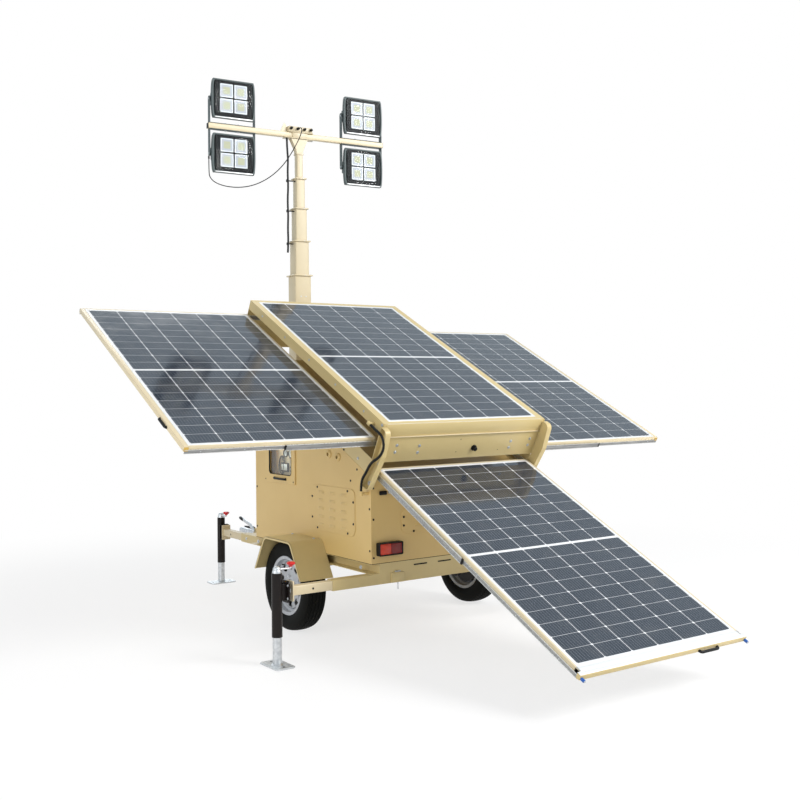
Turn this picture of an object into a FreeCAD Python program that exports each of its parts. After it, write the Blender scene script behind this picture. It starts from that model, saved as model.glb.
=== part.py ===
import FreeCAD
import Part

import math
import os
from types import SimpleNamespace

import Sketcher
from FreeCAD import Placement, Rotation, Vector

# Mobile light tower on a single-axle trailer.
# X points to the trailer's right, Y towards its drawbar and Z up, in millimetres.
# The origin is on the ground, below the middle of the tower's overall outline.
# Four solar modules sit in a tilted tray on the cabinet's sloping roof. The top one is
# fixed, and the three below it are drawers, pulled out to the left, right and rear.

doc = FreeCAD.newDocument("LightTower")
sheet = doc.addObject("Spreadsheet::Sheet", "Sizes")

# Every driving size: its name, its value in millimetres or degrees, and what it is.
SIZES = (
    # trailer frame
    ("tray_side", 33, "cabinet and frame beyond the module, each side"),
    ("cab_rear", -561, "rear face of the cabinet and frame"),
    ("cab_long", 1390, "cabinet length"),
    ("frame_low", 425, "underside of the main frame"),
    ("rail", 60, "section of the main frame's channels and sockets"),
    ("rail_wall", 4, "wall of channels and sockets"),
    ("frame_ahead", 90, "main frame beyond the cabinet's front"),
    ("socket_out", 263, "rear outrigger socket beyond the frame's side"),
    ("front_socket_in", 215, "centre of each front outrigger socket inside the frame's side"),
    ("front_socket_rear", 619, "rear end of the front sockets"),
    ("front_socket_end", 1414, "front end of the front sockets"),
    ("drawbar_wide", 70, "drawbar section"),
    ("drawbar_end", 1925, "front end of the drawbar"),
    ("coupling_tip", 2200.4, "front end of the coupling"),
    ("ball_rad", 25.4, "coupling's socket for a 50 mm ball"),
    ("ball_back", 55, "coupling's ball behind its front end"),
    # wheels
    ("axle_y", 139, "wheel axis along the trailer"),
    ("wheel_out", 102, "centre of each wheel beyond the frame's side"),
    ("tyre_rad", 277, "tyre radius, and height of the wheel axis"),
    ("tyre_wide", 150, "tyre width"),
    ("rim_rad", 165, "rim barrel radius under the bead"),
    ("flange_rad", 182, "rim flange radius"),
    ("hub_bore", 25, "hub bore radius"),
    ("hub_gap", 0.05, "running gap of the hub on its stub"),
    ("stub_ahead", 130, "axle tube ahead of the wheel axis"),
    ("guard_out", 230, "outer edge of the mudguards beyond the cabinet"),
    ("guard_top", 570, "top of the mudguards"),
    ("guard_low", 350, "lower ends of the mudguards"),
    ("guard_top_half", 165, "half length of a mudguard's flat top"),
    ("guard_low_half", 290, "half length between a mudguard's lower ends"),
    ("guard_thick", 3.5, "mudguard sheet"),
    # cabinet
    ("cab_wall", 20, "cabinet wall"),
    ("cab_floor", 15, "cabinet floor"),
    ("door_y", 490, "middle of the control window door"),
    ("door_low", 875, "bottom of the control window door"),
    ("door_wide", 400, "width of the control window door"),
    ("pull_long", 160, "door pull"),
    ("pull_rad", 7, "door pull radius"),
    ("door_high", 330, "height of the control window door"),
    ("door_thick", 8, "thickness of the control window door"),
    ("door_gap", 0.3, "seal gap behind the door"),
    ("pane_wide", 295, "window opening width"),
    ("pane_high", 240, "window opening height"),
    ("pane_lift", 55, "window opening above the door's bottom"),
    ("pane_lap", 12, "window pane beyond its opening, each side"),
    ("pane_thick", 4, "window pane"),
    ("pane_round", 25, "corner radius of the window"),
    ("hinge_rad", 6, "door hinge barrel radius"),
    ("board_deep", 60, "control board behind the wall"),
    ("louvre_y", -151, "middle of the side louvre covers"),
    ("louvre_low", 622, "bottom of the side louvre covers"),
    ("louvre_wide", 490, "side louvre cover width"),
    ("louvre_high", 278, "side louvre cover height"),
    ("rear_louvre_in", 212, "rear louvre cover inside the cabinet's side"),
    ("rear_louvre_low", 640, "bottom of the rear louvre cover"),
    ("rear_louvre_high", 150, "rear louvre cover height"),
    ("cover_thick", 4, "louvre cover sheet"),
    ("slat_wide", 68, "one louvre's width"),
    ("slat_high", 14, "one louvre's height"),
    ("slat_out", 8, "one louvre's depth"),
    ("slat_pitch", 50, "louvre rows apart"),
    ("slat_step", 128, "louvre columns apart"),
    ("lamp_in", 117, "middle of each tail lamp inside the cabinet's side"),
    ("lamp_low", 530, "bottom of the tail lamps"),
    ("tail_wide", 170, "tail lamp width"),
    ("tail_high", 76, "tail lamp height"),
    ("tail_deep", 35, "tail lamp depth"),
    ("bank_in", 150, "battery bank inside the cabinet's side"),
    ("bank_long", 420, "battery bank along"),
    ("bank_high", 240, "battery bank height"),
    # outriggers and jacks
    ("beam_gap", 0.3, "inner beam in its socket, each side"),
    ("beam_wall", 4, "inner beam wall"),
    ("beam_long", 650, "inner beam length"),
    ("reach_out", 515, "end of the rear beams beyond the frame's side"),
    ("front_reach", 1719, "end of the front beams along the trailer"),
    ("end_plate", 8, "outrigger end plate"),
    ("boss_rad", 20, "swivel boss radius"),
    ("boss_long", 30, "swivel boss length"),
    ("swivel_gap", 0.3, "gap at the swivel face"),
    ("jack_out", 89, "jack axis beyond the beam end"),
    ("jack_rad", 29, "jack tube radius"),
    ("jack_bore", 25.5, "jack tube bore radius"),
    ("jack_over", 105, "jack tube above the beam's centre"),
    ("jack_under", 240, "jack tube below the beam's centre"),
    ("leg_rad", 25.45, "jack leg radius"),
    ("leg_under", 55, "top of the jack leg below the beam's centre"),
    ("foot_long", 200, "jack foot length"),
    ("foot_wide", 120, "jack foot width"),
    ("foot_thick", 8, "jack foot plate"),
    ("crank_long", 95, "crank arm"),
    ("knob_rad", 24, "crank knob radius"),
    # mast
    ("mast_y", 1236, "mast axis along the trailer"),
    ("mast_yaw", -5.5, "mast turned about its axis, in degrees"),
    ("mast_plate", 12, "mast foot plate"),
    ("mast_plate_half", 130, "half the mast foot plate"),
    ("turn_rad", 110, "radius of the mast's turning flange"),
    ("turn_gap", 0.3, "gap below the turning flange"),
    ("mast_top", 2343, "top of the base section"),
    ("mast_wide", 130, "base section"),
    ("mast_step", 20, "each section narrower than the last"),
    ("mast_wall", 3.5, "mast section wall"),
    ("stage_gap", 0.3, "running gap of a section in its guide"),
    ("stage_low", 620, "bottom of the first moving section"),
    ("stage_rise", 170, "bottom of each next section higher"),
    ("show_1", 258, "first moving section above the base"),
    ("show_2", 246, "second moving section above the first"),
    ("show_3", 227, "third moving section above the second"),
    ("show_4", 186, "fourth moving section above the third"),
    ("collar_out", 12, "collar beyond its section"),
    ("cap_out", 5, "top cap beyond its section"),
    ("collar_thick", 10, "collar plate"),
    ("guide_high", 60, "wear pads at a section's foot"),
    ("steady_z", 1600, "underside of the mast's steady ring"),
    ("steady_rad", 95, "steady ring radius"),
    ("steady_high", 40, "steady ring height"),
    ("steady_gap", 0.1, "running gap of the steady ring"),
    ("steady_plate", 15, "steady bracket plate"),
    # head and floodlights
    ("bar_rise", 116, "underside of the crossbar above the mast"),
    ("bar_sect", 40, "crossbar section"),
    ("bar_wall", 3, "crossbar wall"),
    ("bar_half", 723, "half the crossbar's length"),
    ("flood_x", 535, "middle of each floodlight from the mast"),
    ("flood_z", 198, "middle of each floodlight from the crossbar"),
    ("flood_wide", 336, "floodlight width"),
    ("flood_high", 284, "floodlight height"),
    ("flood_rim", 34, "floodlight body depth"),
    ("flood_deep", 104, "floodlight depth with its fins"),
    ("flood_ahead", 44, "floodlight face ahead of its pivot"),
    ("fin_count", 13, "cooling fins on a floodlight"),
    ("yoke_gap", 4, "floodlight side to its bracket"),
    ("yoke_thick", 4, "floodlight bracket sheet"),
    ("yoke_wide", 40, "floodlight bracket width"),
    ("pivot_rad", 7, "floodlight pivot radius"),
    # tray and modules: u runs up the slope from the lower glass edge, n out of the glass
    ("tray_y", -681, "lower glass edge of the top module, along the trailer"),
    ("tray_z", 1314, "height of the lower glass edge of the top module"),
    ("tray_tilt", 27.18, "slope of the tray, in degrees"),
    ("tray_deep", 352, "glass face of the top module to the tray's underside"),
    ("layer", 96.4, "each module below the one above"),
    ("module_wide", 1134, "module width"),
    ("module_long", 1722, "module length"),
    ("module_thick", 30, "module frame depth"),
    ("module_lip", 18, "module edge to its cells"),
    ("laminate", 6, "glass and cells"),
    ("frame_bar", 28, "module frame's inner flange"),
    ("member", 11, "drawer side member"),
    ("member_high", 45, "drawer side member height"),
    ("member_gap", 0.3, "module to drawer member"),
    ("front_bar", 27, "drawer's outer bar"),
    ("front_high", 30, "drawer's outer bar height"),
    ("down_bar", 56, "rear drawer's outer bar"),
    ("down_lap", 32, "rear drawer's outer bar inside the tray when shut"),
    ("down_high", 28, "rear drawer's outer bar height"),
    ("catch_out", 25, "rear drawer's catches beyond its bar"),
    ("slide_in", 5, "slide member on the drawer"),
    ("slide_mid", 6, "slide's middle member"),
    ("slide_out", 5, "slide member on the tray"),
    ("slide_gap", 0.3, "between slide members"),
    ("slide_drop", 30, "slide's centre below its module's glass"),
    ("tray_sheet", 3.5, "tray side sheet"),
    ("top_bar", 46, "tray's top side channel across"),
    ("top_bar_high", 65, "tray's top side channel height"),
    ("skirt_top", 250, "top of the tray's lower side sheets below the glass"),
    ("end_low", 250, "bottom of the tray's end plate below the glass"),
    ("side_clear", 72, "travel of a side drawer beyond its module's width"),
    ("down_travel", 1762.4, "travel of the rear drawer"),
    ("side_mid_over", 96, "middle slide of a side drawer beyond the module's width"),
    ("side_in_over", 46, "inner slide of a side drawer beyond the module's width"),
    ("down_mid_long", 1770, "middle slide of the rear drawer"),
    ("handle_wide", 110, "drawer handle"),
    ("handle_out", 16, "drawer handle depth"),
    ("arm_thick", 36, "tray arm across"),
    ("arm_wide", 60, "tray arm's width"),
    ("arm_knee", 172, "tray arm's knee below the glass"),
    ("arm_foot", 385, "tray arm's foot below the glass"),
    ("arm_foot_in", 54, "tray arm's foot below the lower glass edge"),
    ("arm_rad", 34, "tray arm's rounded foot"),
    ("conduit_off", 12, "conduit's axis beyond the left arm's face"),
)


class Size:
    """A size with its number and the spreadsheet expression that gives it."""

    def __init__(self, number, text):
        self.number = float(number)
        self.text = text

    def __add__(self, other):
        other = as_size(other)
        return Size(self.number + other.number, "(%s + %s)" % (self.text, other.text))

    def __sub__(self, other):
        other = as_size(other)
        return Size(self.number - other.number, "(%s - %s)" % (self.text, other.text))

    def __mul__(self, other):
        other = as_size(other)
        return Size(self.number * other.number, "(%s * %s)" % (self.text, other.text))

    def __truediv__(self, other):
        other = as_size(other)
        return Size(self.number / other.number, "(%s / %s)" % (self.text, other.text))

    def __radd__(self, other):
        return as_size(other) + self

    def __rsub__(self, other):
        return as_size(other) - self

    def __rmul__(self, other):
        return as_size(other) * self

    def __neg__(self):
        return as_size(0) - self


def as_size(value):
    """A plain number as a size."""
    if isinstance(value, Size):
        return value
    return Size(value, "%.6g" % value)


for row, (alias, value, meaning) in enumerate(SIZES, start=1):
    sheet.set("A%d" % row, str(value))
    sheet.setAlias("A%d" % row, alias)
    sheet.set("B%d" % row, meaning)
doc.recompute()
v = SimpleNamespace(**{alias: Size(value, "Sizes." + alias) for alias, value, _ in SIZES})


def link(alias, size, meaning):
    """Write a size that follows others as a formula in the sheet, and give it its own name."""
    global row
    row += 1
    sheet.set("A%d" % row, "=" + size.text.replace("Sizes.", ""))
    sheet.setAlias("A%d" % row, alias)
    sheet.set("B%d" % row, meaning)
    setattr(v, alias, Size(size.number, "Sizes." + alias))


# sizes that follow others by a named clearance
link("cab_half", v.module_wide / 2 + v.tray_side, "half the cabinet's and the frame's width")
link("socket_half", v.cab_half + v.socket_out, "half the length of the rear outrigger socket")
link("front_socket_x", v.cab_half - v.front_socket_in, "centre of each front outrigger socket")
link("wheel_x", v.cab_half + v.wheel_out, "centre of each wheel from the middle")
link("guard_x", v.cab_half + v.guard_out, "outer edge of the mudguards")
link("rear_louvre_wide", v.cab_half * 2 - v.rear_louvre_in * 2, "rear louvre cover width")
link("lamp_x", v.cab_half - v.lamp_in, "middle of each tail lamp")
link("bank_wide", v.cab_half * 2 - v.bank_in * 2, "battery bank across")
link("rear_reach", v.cab_half + v.reach_out, "end of the rear beams from the middle")
link("side_travel", v.module_wide + v.side_clear, "travel of the side drawers")
link("side_mid_long", v.module_wide + v.side_mid_over, "middle slide of a side drawer")
link("side_in_long", v.module_wide + v.side_in_over, "inner slide of a side drawer")
doc.recompute()
sine = Size(math.sin(math.radians(v.tray_tilt.number)), "sin(Sizes.tray_tilt)")
cosine = Size(math.cos(math.radians(v.tray_tilt.number)), "cos(Sizes.tray_tilt)")

X, Y, Z = Vector(1, 0, 0), Vector(0, 1, 0), Vector(0, 0, 1)
pieces = {}


def bind(item, path, value):
    """Set a property to a number, or bind it to its expression."""
    if isinstance(value, Size):
        item.setExpression(path, value.text)
    else:
        item.setExpression(path, "%.6g" % value)


def place(item, at, axis=Z, angle=0.0):
    """Place an object at three sizes, turned by an angle about an axis."""
    item.Placement = Placement(Vector(0, 0, 0), Rotation(axis, 1.0))
    bind(item, "Placement.Base.x", at[0])
    bind(item, "Placement.Base.y", at[1])
    bind(item, "Placement.Base.z", at[2])
    bind(item, "Placement.Rotation.Angle", angle)
    return item


def box(name, low, high):
    """A block between two corners."""
    item = doc.addObject("Part::Box", name)
    low, high = [as_size(c) for c in low], [as_size(c) for c in high]
    bind(item, "Length", high[0] - low[0])
    bind(item, "Width", high[1] - low[1])
    bind(item, "Height", high[2] - low[2])
    return place(item, low)


def rod(name, start, radius, length, along=Z):
    """A round bar from its start, along an axis."""
    item = doc.addObject("Part::Cylinder", name)
    bind(item, "Radius", radius)
    bind(item, "Height", length)
    if along == X:
        return place(item, start, Y, 90.0)
    if along == Y:
        return place(item, start, X, -90.0)
    return place(item, start)


def joined(kind, name, property_name, members):
    """A boolean or compound of members."""
    item = doc.addObject(kind, name)
    setattr(item, property_name, list(members))
    return item


def fuse(name, members):
    """Pieces welded into one."""
    return joined("Part::MultiFuse", name, "Shapes", members)


def group(name, members):
    """Like pieces that don't touch."""
    return joined("Part::Compound", name, "Links", members)


def cut(name, base, tools):
    """A piece with material removed."""
    item = doc.addObject("Part::Cut", name)
    item.Base = base
    item.Tool = tools[0] if len(tools) == 1 else fuse(name + "_tools", tools)
    return item


def mirrored(name, source):
    """The same piece on the other side of the middle."""
    item = doc.addObject("Part::Mirroring", name)
    item.Source = source
    item.Normal = X
    return item


def hollow(name, low, high, wall, along):
    """A square tube, open at both ends of an axis."""
    outer = box(name + "_outer", low, high)
    inner_low, inner_high = list(low), list(high)
    for axis in range(3):
        if axis != along:
            inner_low[axis] = low[axis] + wall
            inner_high[axis] = high[axis] - wall
    return cut(name, outer, [box(name + "_inner", inner_low, inner_high)])


def sketch_on(body, role, points):
    """A closed polygon on one of the body's own planes, each corner bound to two sizes."""
    sketch = body.newObject("Sketcher::SketchObject", body.Name + "_sketch")
    plane = [f for f in body.Origin.OriginFeatures if f.Role == role][0]
    sketch.AttachmentSupport = [(plane, "")]
    sketch.MapMode = "FlatFace"
    corners = [(as_size(a), as_size(b)) for a, b in points]
    count = len(corners)
    spots = [Vector(a.number, b.number, 0) for a, b in corners]
    for i in range(count):
        sketch.addGeometry(Part.LineSegment(spots[i], spots[(i + 1) % count]), False)
    for i in range(count):
        sketch.addConstraint(Sketcher.Constraint("Coincident", i, 2, (i + 1) % count, 1))
    for i, corner in enumerate(corners):
        for kind, size in zip(("DistanceX", "DistanceY"), corner):
            index = sketch.addConstraint(Sketcher.Constraint(kind, -1, 1, i, 1, size.number))
            sketch.setExpression("Constraints[%d]" % index, size.text)
    return sketch


# how a pad's sketch lies: plane, pad direction, and where the sketch's two axes point
PLANES = {"YZ": ("YZ_Plane", X, Y, Z), "XZ": ("XZ_Plane", -Y, X, Z), "XY": ("XY_Plane", Z, X, Y)}


def plate(name, plane, points, thick, start=0.0, rounds=()):
    """A padded outline. start is where its near face lies, rounds are (corner, radius)."""
    role, normal, first, second = PLANES[plane]
    body = doc.addObject("PartDesign::Body", name)
    pad = body.newObject("PartDesign::Pad", name + "_pad")
    pad.Profile = sketch_on(body, role, points)
    bind(pad, "Length", thick)
    start = as_size(start)
    base = {"YZ": (start, 0, 0), "XZ": (0, start, 0), "XY": (0, 0, start)}[plane]
    place(body, base)
    last = pad
    for corner, radius in rounds:
        last.recompute(True)
        spot = first * as_size(points[corner][0]).number + second * as_size(points[corner][1]).number
        names = []
        for number, edge in enumerate(last.Shape.Edges, start=1):
            ends = [vertex.Point for vertex in edge.Vertexes]
            if len(ends) != 2 or (ends[1] - ends[0]).cross(normal).Length > 0.01:
                continue
            off = ends[0] - spot
            if (off - normal * off.dot(normal)).Length < 0.01:
                names.append("Edge%d" % number)
        fillet = body.newObject("PartDesign::Fillet", "%s_round%d" % (name, corner))
        fillet.Base = (last, names)
        bind(fillet, "Radius", radius)
        last = fillet
    return body


def rounded_box(name, plane, low, high, thick, start, radius):
    """A plate with four rounded corners."""
    points = [(low[0], low[1]), (high[0], low[1]), (high[0], high[1]), (low[0], high[1])]
    return plate(name, plane, points, thick, start, [(i, radius) for i in range(4)])


def turned(name, points, start, along=X):
    """A turned piece. points are (place along the axis, radius)."""
    body = doc.addObject("PartDesign::Body", name)
    sketch = sketch_on(body, "XZ_Plane", points)
    turn = body.newObject("PartDesign::Revolution", name + "_turn")
    turn.Profile = sketch
    turn.ReferenceAxis = (sketch, ["H_Axis"])
    turn.Angle = 360.0
    if along == Y:
        return place(body, start, Z, 90.0)
    if along == Z:
        return place(body, start, Y, -90.0)
    return place(body, start)


def in_tray(name, members):
    """Pieces worked out in the tray's own X, u, n and set on its slope."""
    return place(group(name, members), (0, v.tray_y, v.tray_z), X, v.tray_tilt)


def on_mast(name, members):
    """Pieces worked out round the mast's axis and turned with it."""
    return place(group(name, members), (0, v.mast_y, 0), Z, v.mast_yaw)


def keep(name, item):
    """A finished piece of the tower under its own name."""
    item.Label = name
    pieces[name] = item
    return item


def cord(name, points, radius):
    """A round cord: straight runs joined by arcs as large as their two runs allow."""
    spots = [Vector(*p) for p in points]
    edges = []
    here = spots[0]
    radii = []
    for before, corner, after in zip(spots, spots[1:], spots[2:]):
        into = (corner - before).normalize()
        out = (after - corner).normalize()
        turn = into.getAngle(out)
        reach = 0.45 * min((corner - before).Length, (after - corner).Length)
        radii.append(reach / math.tan(turn / 2))
        enter = corner - into * reach
        leave = corner + out * reach
        bow = (out - into).normalize()
        middle = corner + bow * (radii[-1] / math.cos(turn / 2) - radii[-1])
        edges.append(Part.LineSegment(here, enter).toShape())
        edges.append(Part.Arc(enter, middle, leave).toShape())
        here = leave
    edges.append(Part.LineSegment(here, spots[-1]).toShape())
    path = Part.Wire(edges)
    circle = Part.Circle(spots[0], spots[1] - spots[0], radius)
    section = Part.Wire([circle.toShape()])
    solid = path.makePipeShell([section], True, False)
    drawn = sum(edge.Length for edge in edges)
    print("%s: length %.0f, least radius %.0f, volume ratio %.4f"
          % (name, drawn, min(radii), solid.Volume / (math.pi * radius ** 2 * drawn)))
    item = doc.addObject("Part::Feature", name)
    item.Shape = solid
    return item


def roof_line(along, below=0.0):
    """Height of the roof's top plane at a place along the trailer, or of a plane below it."""
    drop = v.tray_deep + below
    return v.tray_z + ((along - v.tray_y) * sine - drop) / cosine


# the trailer frame
cab_front = v.cab_rear + v.cab_long
cab_low = v.frame_low + v.rail
socket_low = v.frame_low - v.rail
frame_front = cab_front + v.frame_ahead
side_low = (v.cab_half - v.rail, v.cab_rear, v.frame_low)
side_high = (v.cab_half, frame_front, cab_low)
side_bar = box("side_bar", side_low, side_high)
side_hollow = box(
    "side_hollow",
    (v.cab_half - v.rail + v.rail_wall, v.cab_rear, v.frame_low + v.rail_wall),
    (v.cab_half, frame_front, cab_low - v.rail_wall),
)
side_channel = cut("side_channel", side_bar, [side_hollow])
frame_parts = [side_channel, mirrored("side_channel_left", side_channel)]
cross_at = (("rear", v.cab_rear), ("middle", v.axle_y + v.stub_ahead - v.rail / 2),
            ("front", frame_front - v.rail))
for end, along in cross_at:
    frame_parts.append(hollow(
        "cross_" + end,
        (v.rail - v.cab_half, along, v.frame_low),
        (v.cab_half - v.rail, along + v.rail, cab_low),
        v.rail_wall, 0,
    ))
rear_socket = hollow(
    "rear_socket",
    (-v.socket_half, v.cab_rear, socket_low),
    (v.socket_half, v.cab_rear + v.rail, v.frame_low),
    v.rail_wall, 0,
)
front_socket = hollow(
    "front_socket",
    (v.front_socket_x - v.rail / 2, v.front_socket_rear, socket_low),
    (v.front_socket_x + v.rail / 2, v.front_socket_end, v.frame_low),
    v.rail_wall, 1,
)
frame_parts += [rear_socket, front_socket, mirrored("front_socket_left", front_socket)]
inner_x = v.front_socket_x - v.rail / 2
lower_cross = (
    ("drawbar_cross", v.front_socket_rear),
    ("mast_cross_rear", v.mast_y - v.mast_plate_half),
    ("mast_cross_front", v.mast_y + v.mast_plate_half - v.rail),
)
for name, along in lower_cross:
    frame_parts.append(hollow(
        name, (-inner_x, along, socket_low), (inner_x, along + v.rail, v.frame_low), v.rail_wall, 0))
mast_seat = v.frame_low + v.mast_plate
frame_parts.append(box(
    "mast_foot_plate",
    (-v.mast_plate_half, v.mast_y - v.mast_plate_half, v.frame_low),
    (v.mast_plate_half, v.mast_y + v.mast_plate_half, mast_seat),
))
keep("chassis_frame", fuse("chassis", frame_parts))

# the drawbar under the frame, its coupling and the handbrake lever
bar_low = socket_low - v.drawbar_wide
keep("drawbar", hollow(
    "drawbar_tube",
    (-v.drawbar_wide / 2, v.front_socket_rear, bar_low),
    (v.drawbar_wide / 2, v.drawbar_end, socket_low),
    v.rail_wall + 1, 1,
))
coupling_z = socket_low - v.drawbar_wide / 2
head_back = box(
    "coupling_shank", (-30, v.drawbar_end - 90, bar_low + v.rail_wall + 1),
    (30, v.drawbar_end, socket_low - v.rail_wall - 1))
head_body = plate("coupling_body", "XY", [
    (-34, v.drawbar_end), (34, v.drawbar_end), (34, v.drawbar_end + 120), (42, v.coupling_tip - 90),
    (42, v.coupling_tip - 20), (22, v.coupling_tip), (-22, v.coupling_tip), (-42, v.coupling_tip - 20),
    (-42, v.coupling_tip - 90), (-34, v.drawbar_end + 120)], 58, coupling_z - 29, [(5, 18), (6, 18)])
latch = box("coupling_latch", (-9, v.drawbar_end + 60, coupling_z + 29),
            (9, v.coupling_tip - 40, coupling_z + 47))
ball_hole = doc.addObject("Part::Sphere", "ball_socket")
bind(ball_hole, "Radius", v.ball_rad)
place(ball_hole, (0, v.coupling_tip - v.ball_back, coupling_z - 10))
ball_way = rod("ball_way", (0, v.coupling_tip - v.ball_back, coupling_z - 40), v.ball_rad, 30)
keep("coupling_head",
     cut("coupling", fuse("coupling_solid", [head_back, head_body, latch]), [ball_hole, ball_way]))
lever_y = v.drawbar_end + 10
lever_bracket = box("lever_bracket", (-v.drawbar_wide / 2 - 8, lever_y - 60, coupling_z - 10),
                    (-v.drawbar_wide / 2, lever_y - 10, socket_low + 12))
lever = plate("lever", "YZ", [
    (lever_y - 50, socket_low - 8), (lever_y - 28, socket_low - 22), (lever_y + 40, socket_low + 22),
    (lever_y + 210, socket_low + 62), (lever_y + 205, socket_low + 88), (lever_y + 25, socket_low + 46)],
    14, -v.drawbar_wide / 2 - 22, [(3, 8), (4, 8)])
keep("handbrake_lever", fuse("handbrake", [lever_bracket, lever]))

# the rubber-sprung axle: tube, hangers, trailing arms and stubs
tube_y = v.axle_y + v.stub_ahead
tube_top = v.frame_low - 20
axle_half = v.cab_half - v.rail
axle_parts = [hollow("axle_tube", (-axle_half, tube_y - 30, tube_top - 60),
                     (axle_half, tube_y + 30, tube_top), 5, 0)]
arm_x = v.cab_half - 35
stub_len = v.wheel_x + 20 - arm_x
for side, sign in (("right", 1), ("left", -1)):
    hang_x = sign * (v.cab_half - v.rail / 2)
    axle_parts.append(box("hanger_" + side, (hang_x - 28, tube_y - 40, tube_top),
                          (hang_x + 28, tube_y + 40, v.frame_low)))
    arm_start = arm_x - 22 if sign > 0 else -arm_x
    axle_parts.append(plate("trailing_arm_" + side, "YZ", [
        (v.axle_y - 28, v.tyre_rad - 22), (v.axle_y + 22, v.tyre_rad - 30), (tube_y + 36, tube_top - 66),
        (tube_y + 36, tube_top + 2), (tube_y - 30, tube_top + 2), (v.axle_y - 28, v.tyre_rad + 26)], 22,
                            arm_start,
        [(0, 16), (5, 16)]))
    axle_parts.append(box("arm_joint_" + side,
                          (sign * (axle_half + arm_x - 22) / 2 - 20, tube_y - 30, tube_top - 60),
                          (sign * (axle_half + arm_x - 22) / 2 + 20, tube_y + 30, tube_top)))
    stub_start = arm_x if sign > 0 else -arm_x - stub_len
    axle_parts.append(rod("stub_" + side, (stub_start, v.axle_y, v.tyre_rad), v.hub_bore - v.hub_gap,
                          stub_len, X))
    drum_start = arm_x if sign > 0 else -arm_x - 22
    axle_parts.append(rod("drum_" + side, (drum_start, v.axle_y, v.tyre_rad), 88, 22, X))
keep("axle", fuse("axle_beam", axle_parts))

# wheels: (name, side)
WHEELS = (("left", -1), ("right", 1))
half_tyre = v.tyre_wide / 2
for side, sign in WHEELS:
    centre = (sign * v.wheel_x, v.axle_y, v.tyre_rad)
    section = [
        (-half_tyre + 19.3, v.rim_rad + 0.9), (-half_tyre + 16.3, v.flange_rad + 0.4),
        (-half_tyre + 11, v.flange_rad + 0.6), (-half_tyre + 2, v.flange_rad + 16),
        (-half_tyre, v.rim_rad + 55),
        (-half_tyre + 6, v.tyre_rad - 22), (-half_tyre + 22, v.tyre_rad - 4), (-half_tyre + 42, v.tyre_rad)]
    section += [(-a, r) for a, r in reversed(section)]
    keep("tyre_" + side, turned("tyre_body_" + side, section, centre))
    out = float(sign)
    face = out * 28
    rim_section = [
        (-half_tyre + 12, v.flange_rad), (-half_tyre + 16, v.flange_rad), (-half_tyre + 19, v.rim_rad + 0.5),
        (half_tyre - 19, v.rim_rad + 0.5), (half_tyre - 16, v.flange_rad), (half_tyre - 12, v.flange_rad),
        (half_tyre - 14, v.rim_rad - 4), (-half_tyre + 14, v.rim_rad - 4)]
    disc_a, disc_b = sorted((face, face - out * 6))
    hub_a, hub_b = sorted((face + out * 20, face - out * 46))
    barrel = turned("rim_barrel_" + side, rim_section, centre)
    disc = turned("rim_disc_" + side, [
        (disc_a, v.hub_bore), (disc_b, v.hub_bore), (disc_b, v.rim_rad - 3), (disc_a, v.rim_rad - 3)], centre)
    hub = turned("rim_hub_" + side, [(hub_a, v.hub_bore), (hub_b, v.hub_bore), (hub_b, 42), (hub_a, 42)],
                 centre)
    slots = []
    for number in range(10):
        angle = math.radians(36 * number)
        spot_y = v.axle_y + math.cos(angle) * 118
        spot_z = v.tyre_rad + math.sin(angle) * 118
        slots.append(rod("slot_%s_%d" % (side, number), (sign * v.wheel_x + face - 20, spot_y, spot_z), 17,
                         40, X))
    keep("wheel_" + side, fuse("wheel_body_" + side, [barrel, cut("rim_face_" + side, disc, slots), hub]))

# mudguards: bent sheet, open below and at both sides
guard_outer = plate("guard_outer", "YZ", [
    (v.axle_y - v.guard_low_half, v.guard_low), (v.axle_y + v.guard_low_half, v.guard_low),
    (v.axle_y + v.guard_top_half, v.guard_top), (v.axle_y - v.guard_top_half, v.guard_top)],
    v.guard_x - v.cab_half, v.cab_half, [(2, 55), (3, 55)])
guard_in = v.guard_thick * 1.15
guard_inner = plate("guard_inner", "YZ", [
    (v.axle_y - v.guard_low_half + guard_in, v.guard_low),
    (v.axle_y + v.guard_low_half - guard_in, v.guard_low),
    (v.axle_y + v.guard_top_half - v.guard_thick * 0.6, v.guard_top - v.guard_thick),
    (v.axle_y - v.guard_top_half + v.guard_thick * 0.6, v.guard_top - v.guard_thick)],
    v.guard_x - v.cab_half, v.cab_half, [(2, 52), (3, 52)])
guard_right = cut("guard_right", guard_outer, [guard_inner])
keep("mudguards", group("guards", [guard_right, mirrored("guard_left", guard_right)]))

# the cabinet: floor, side walls, end walls and sloping roof
under_roof = v.cab_wall
wall_in = v.cab_half - v.cab_wall
opening_lap = 16.0
door_rear = v.door_y - v.door_wide / 2
door_front = v.door_y + v.door_wide / 2
door_top = v.door_low + v.door_high
keep("cabinet_floor",
     box("floor_sheet", (-v.cab_half, v.cab_rear, cab_low), (v.cab_half, cab_front, cab_low + v.cab_floor)))
wall_low = cab_low + v.cab_floor
wall_outline = [
    (v.cab_rear, wall_low), (cab_front, wall_low), (cab_front, roof_line(cab_front, under_roof)),
    (v.cab_rear, roof_line(v.cab_rear, under_roof))]
right_wall = plate("right_wall", "YZ", wall_outline, v.cab_wall, wall_in)
left_wall = plate("left_wall_whole", "YZ", wall_outline, v.cab_wall, -v.cab_half)
vent_in = 24.0


def side_vent(name, start):
    """The hole in a side wall behind its louvre cover."""
    return box(name, (start, v.louvre_y - v.louvre_wide / 2 + vent_in, v.louvre_low + vent_in),
               (start + v.cab_wall, v.louvre_y + v.louvre_wide / 2 - vent_in,
                v.louvre_low + v.louvre_high - vent_in))


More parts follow.
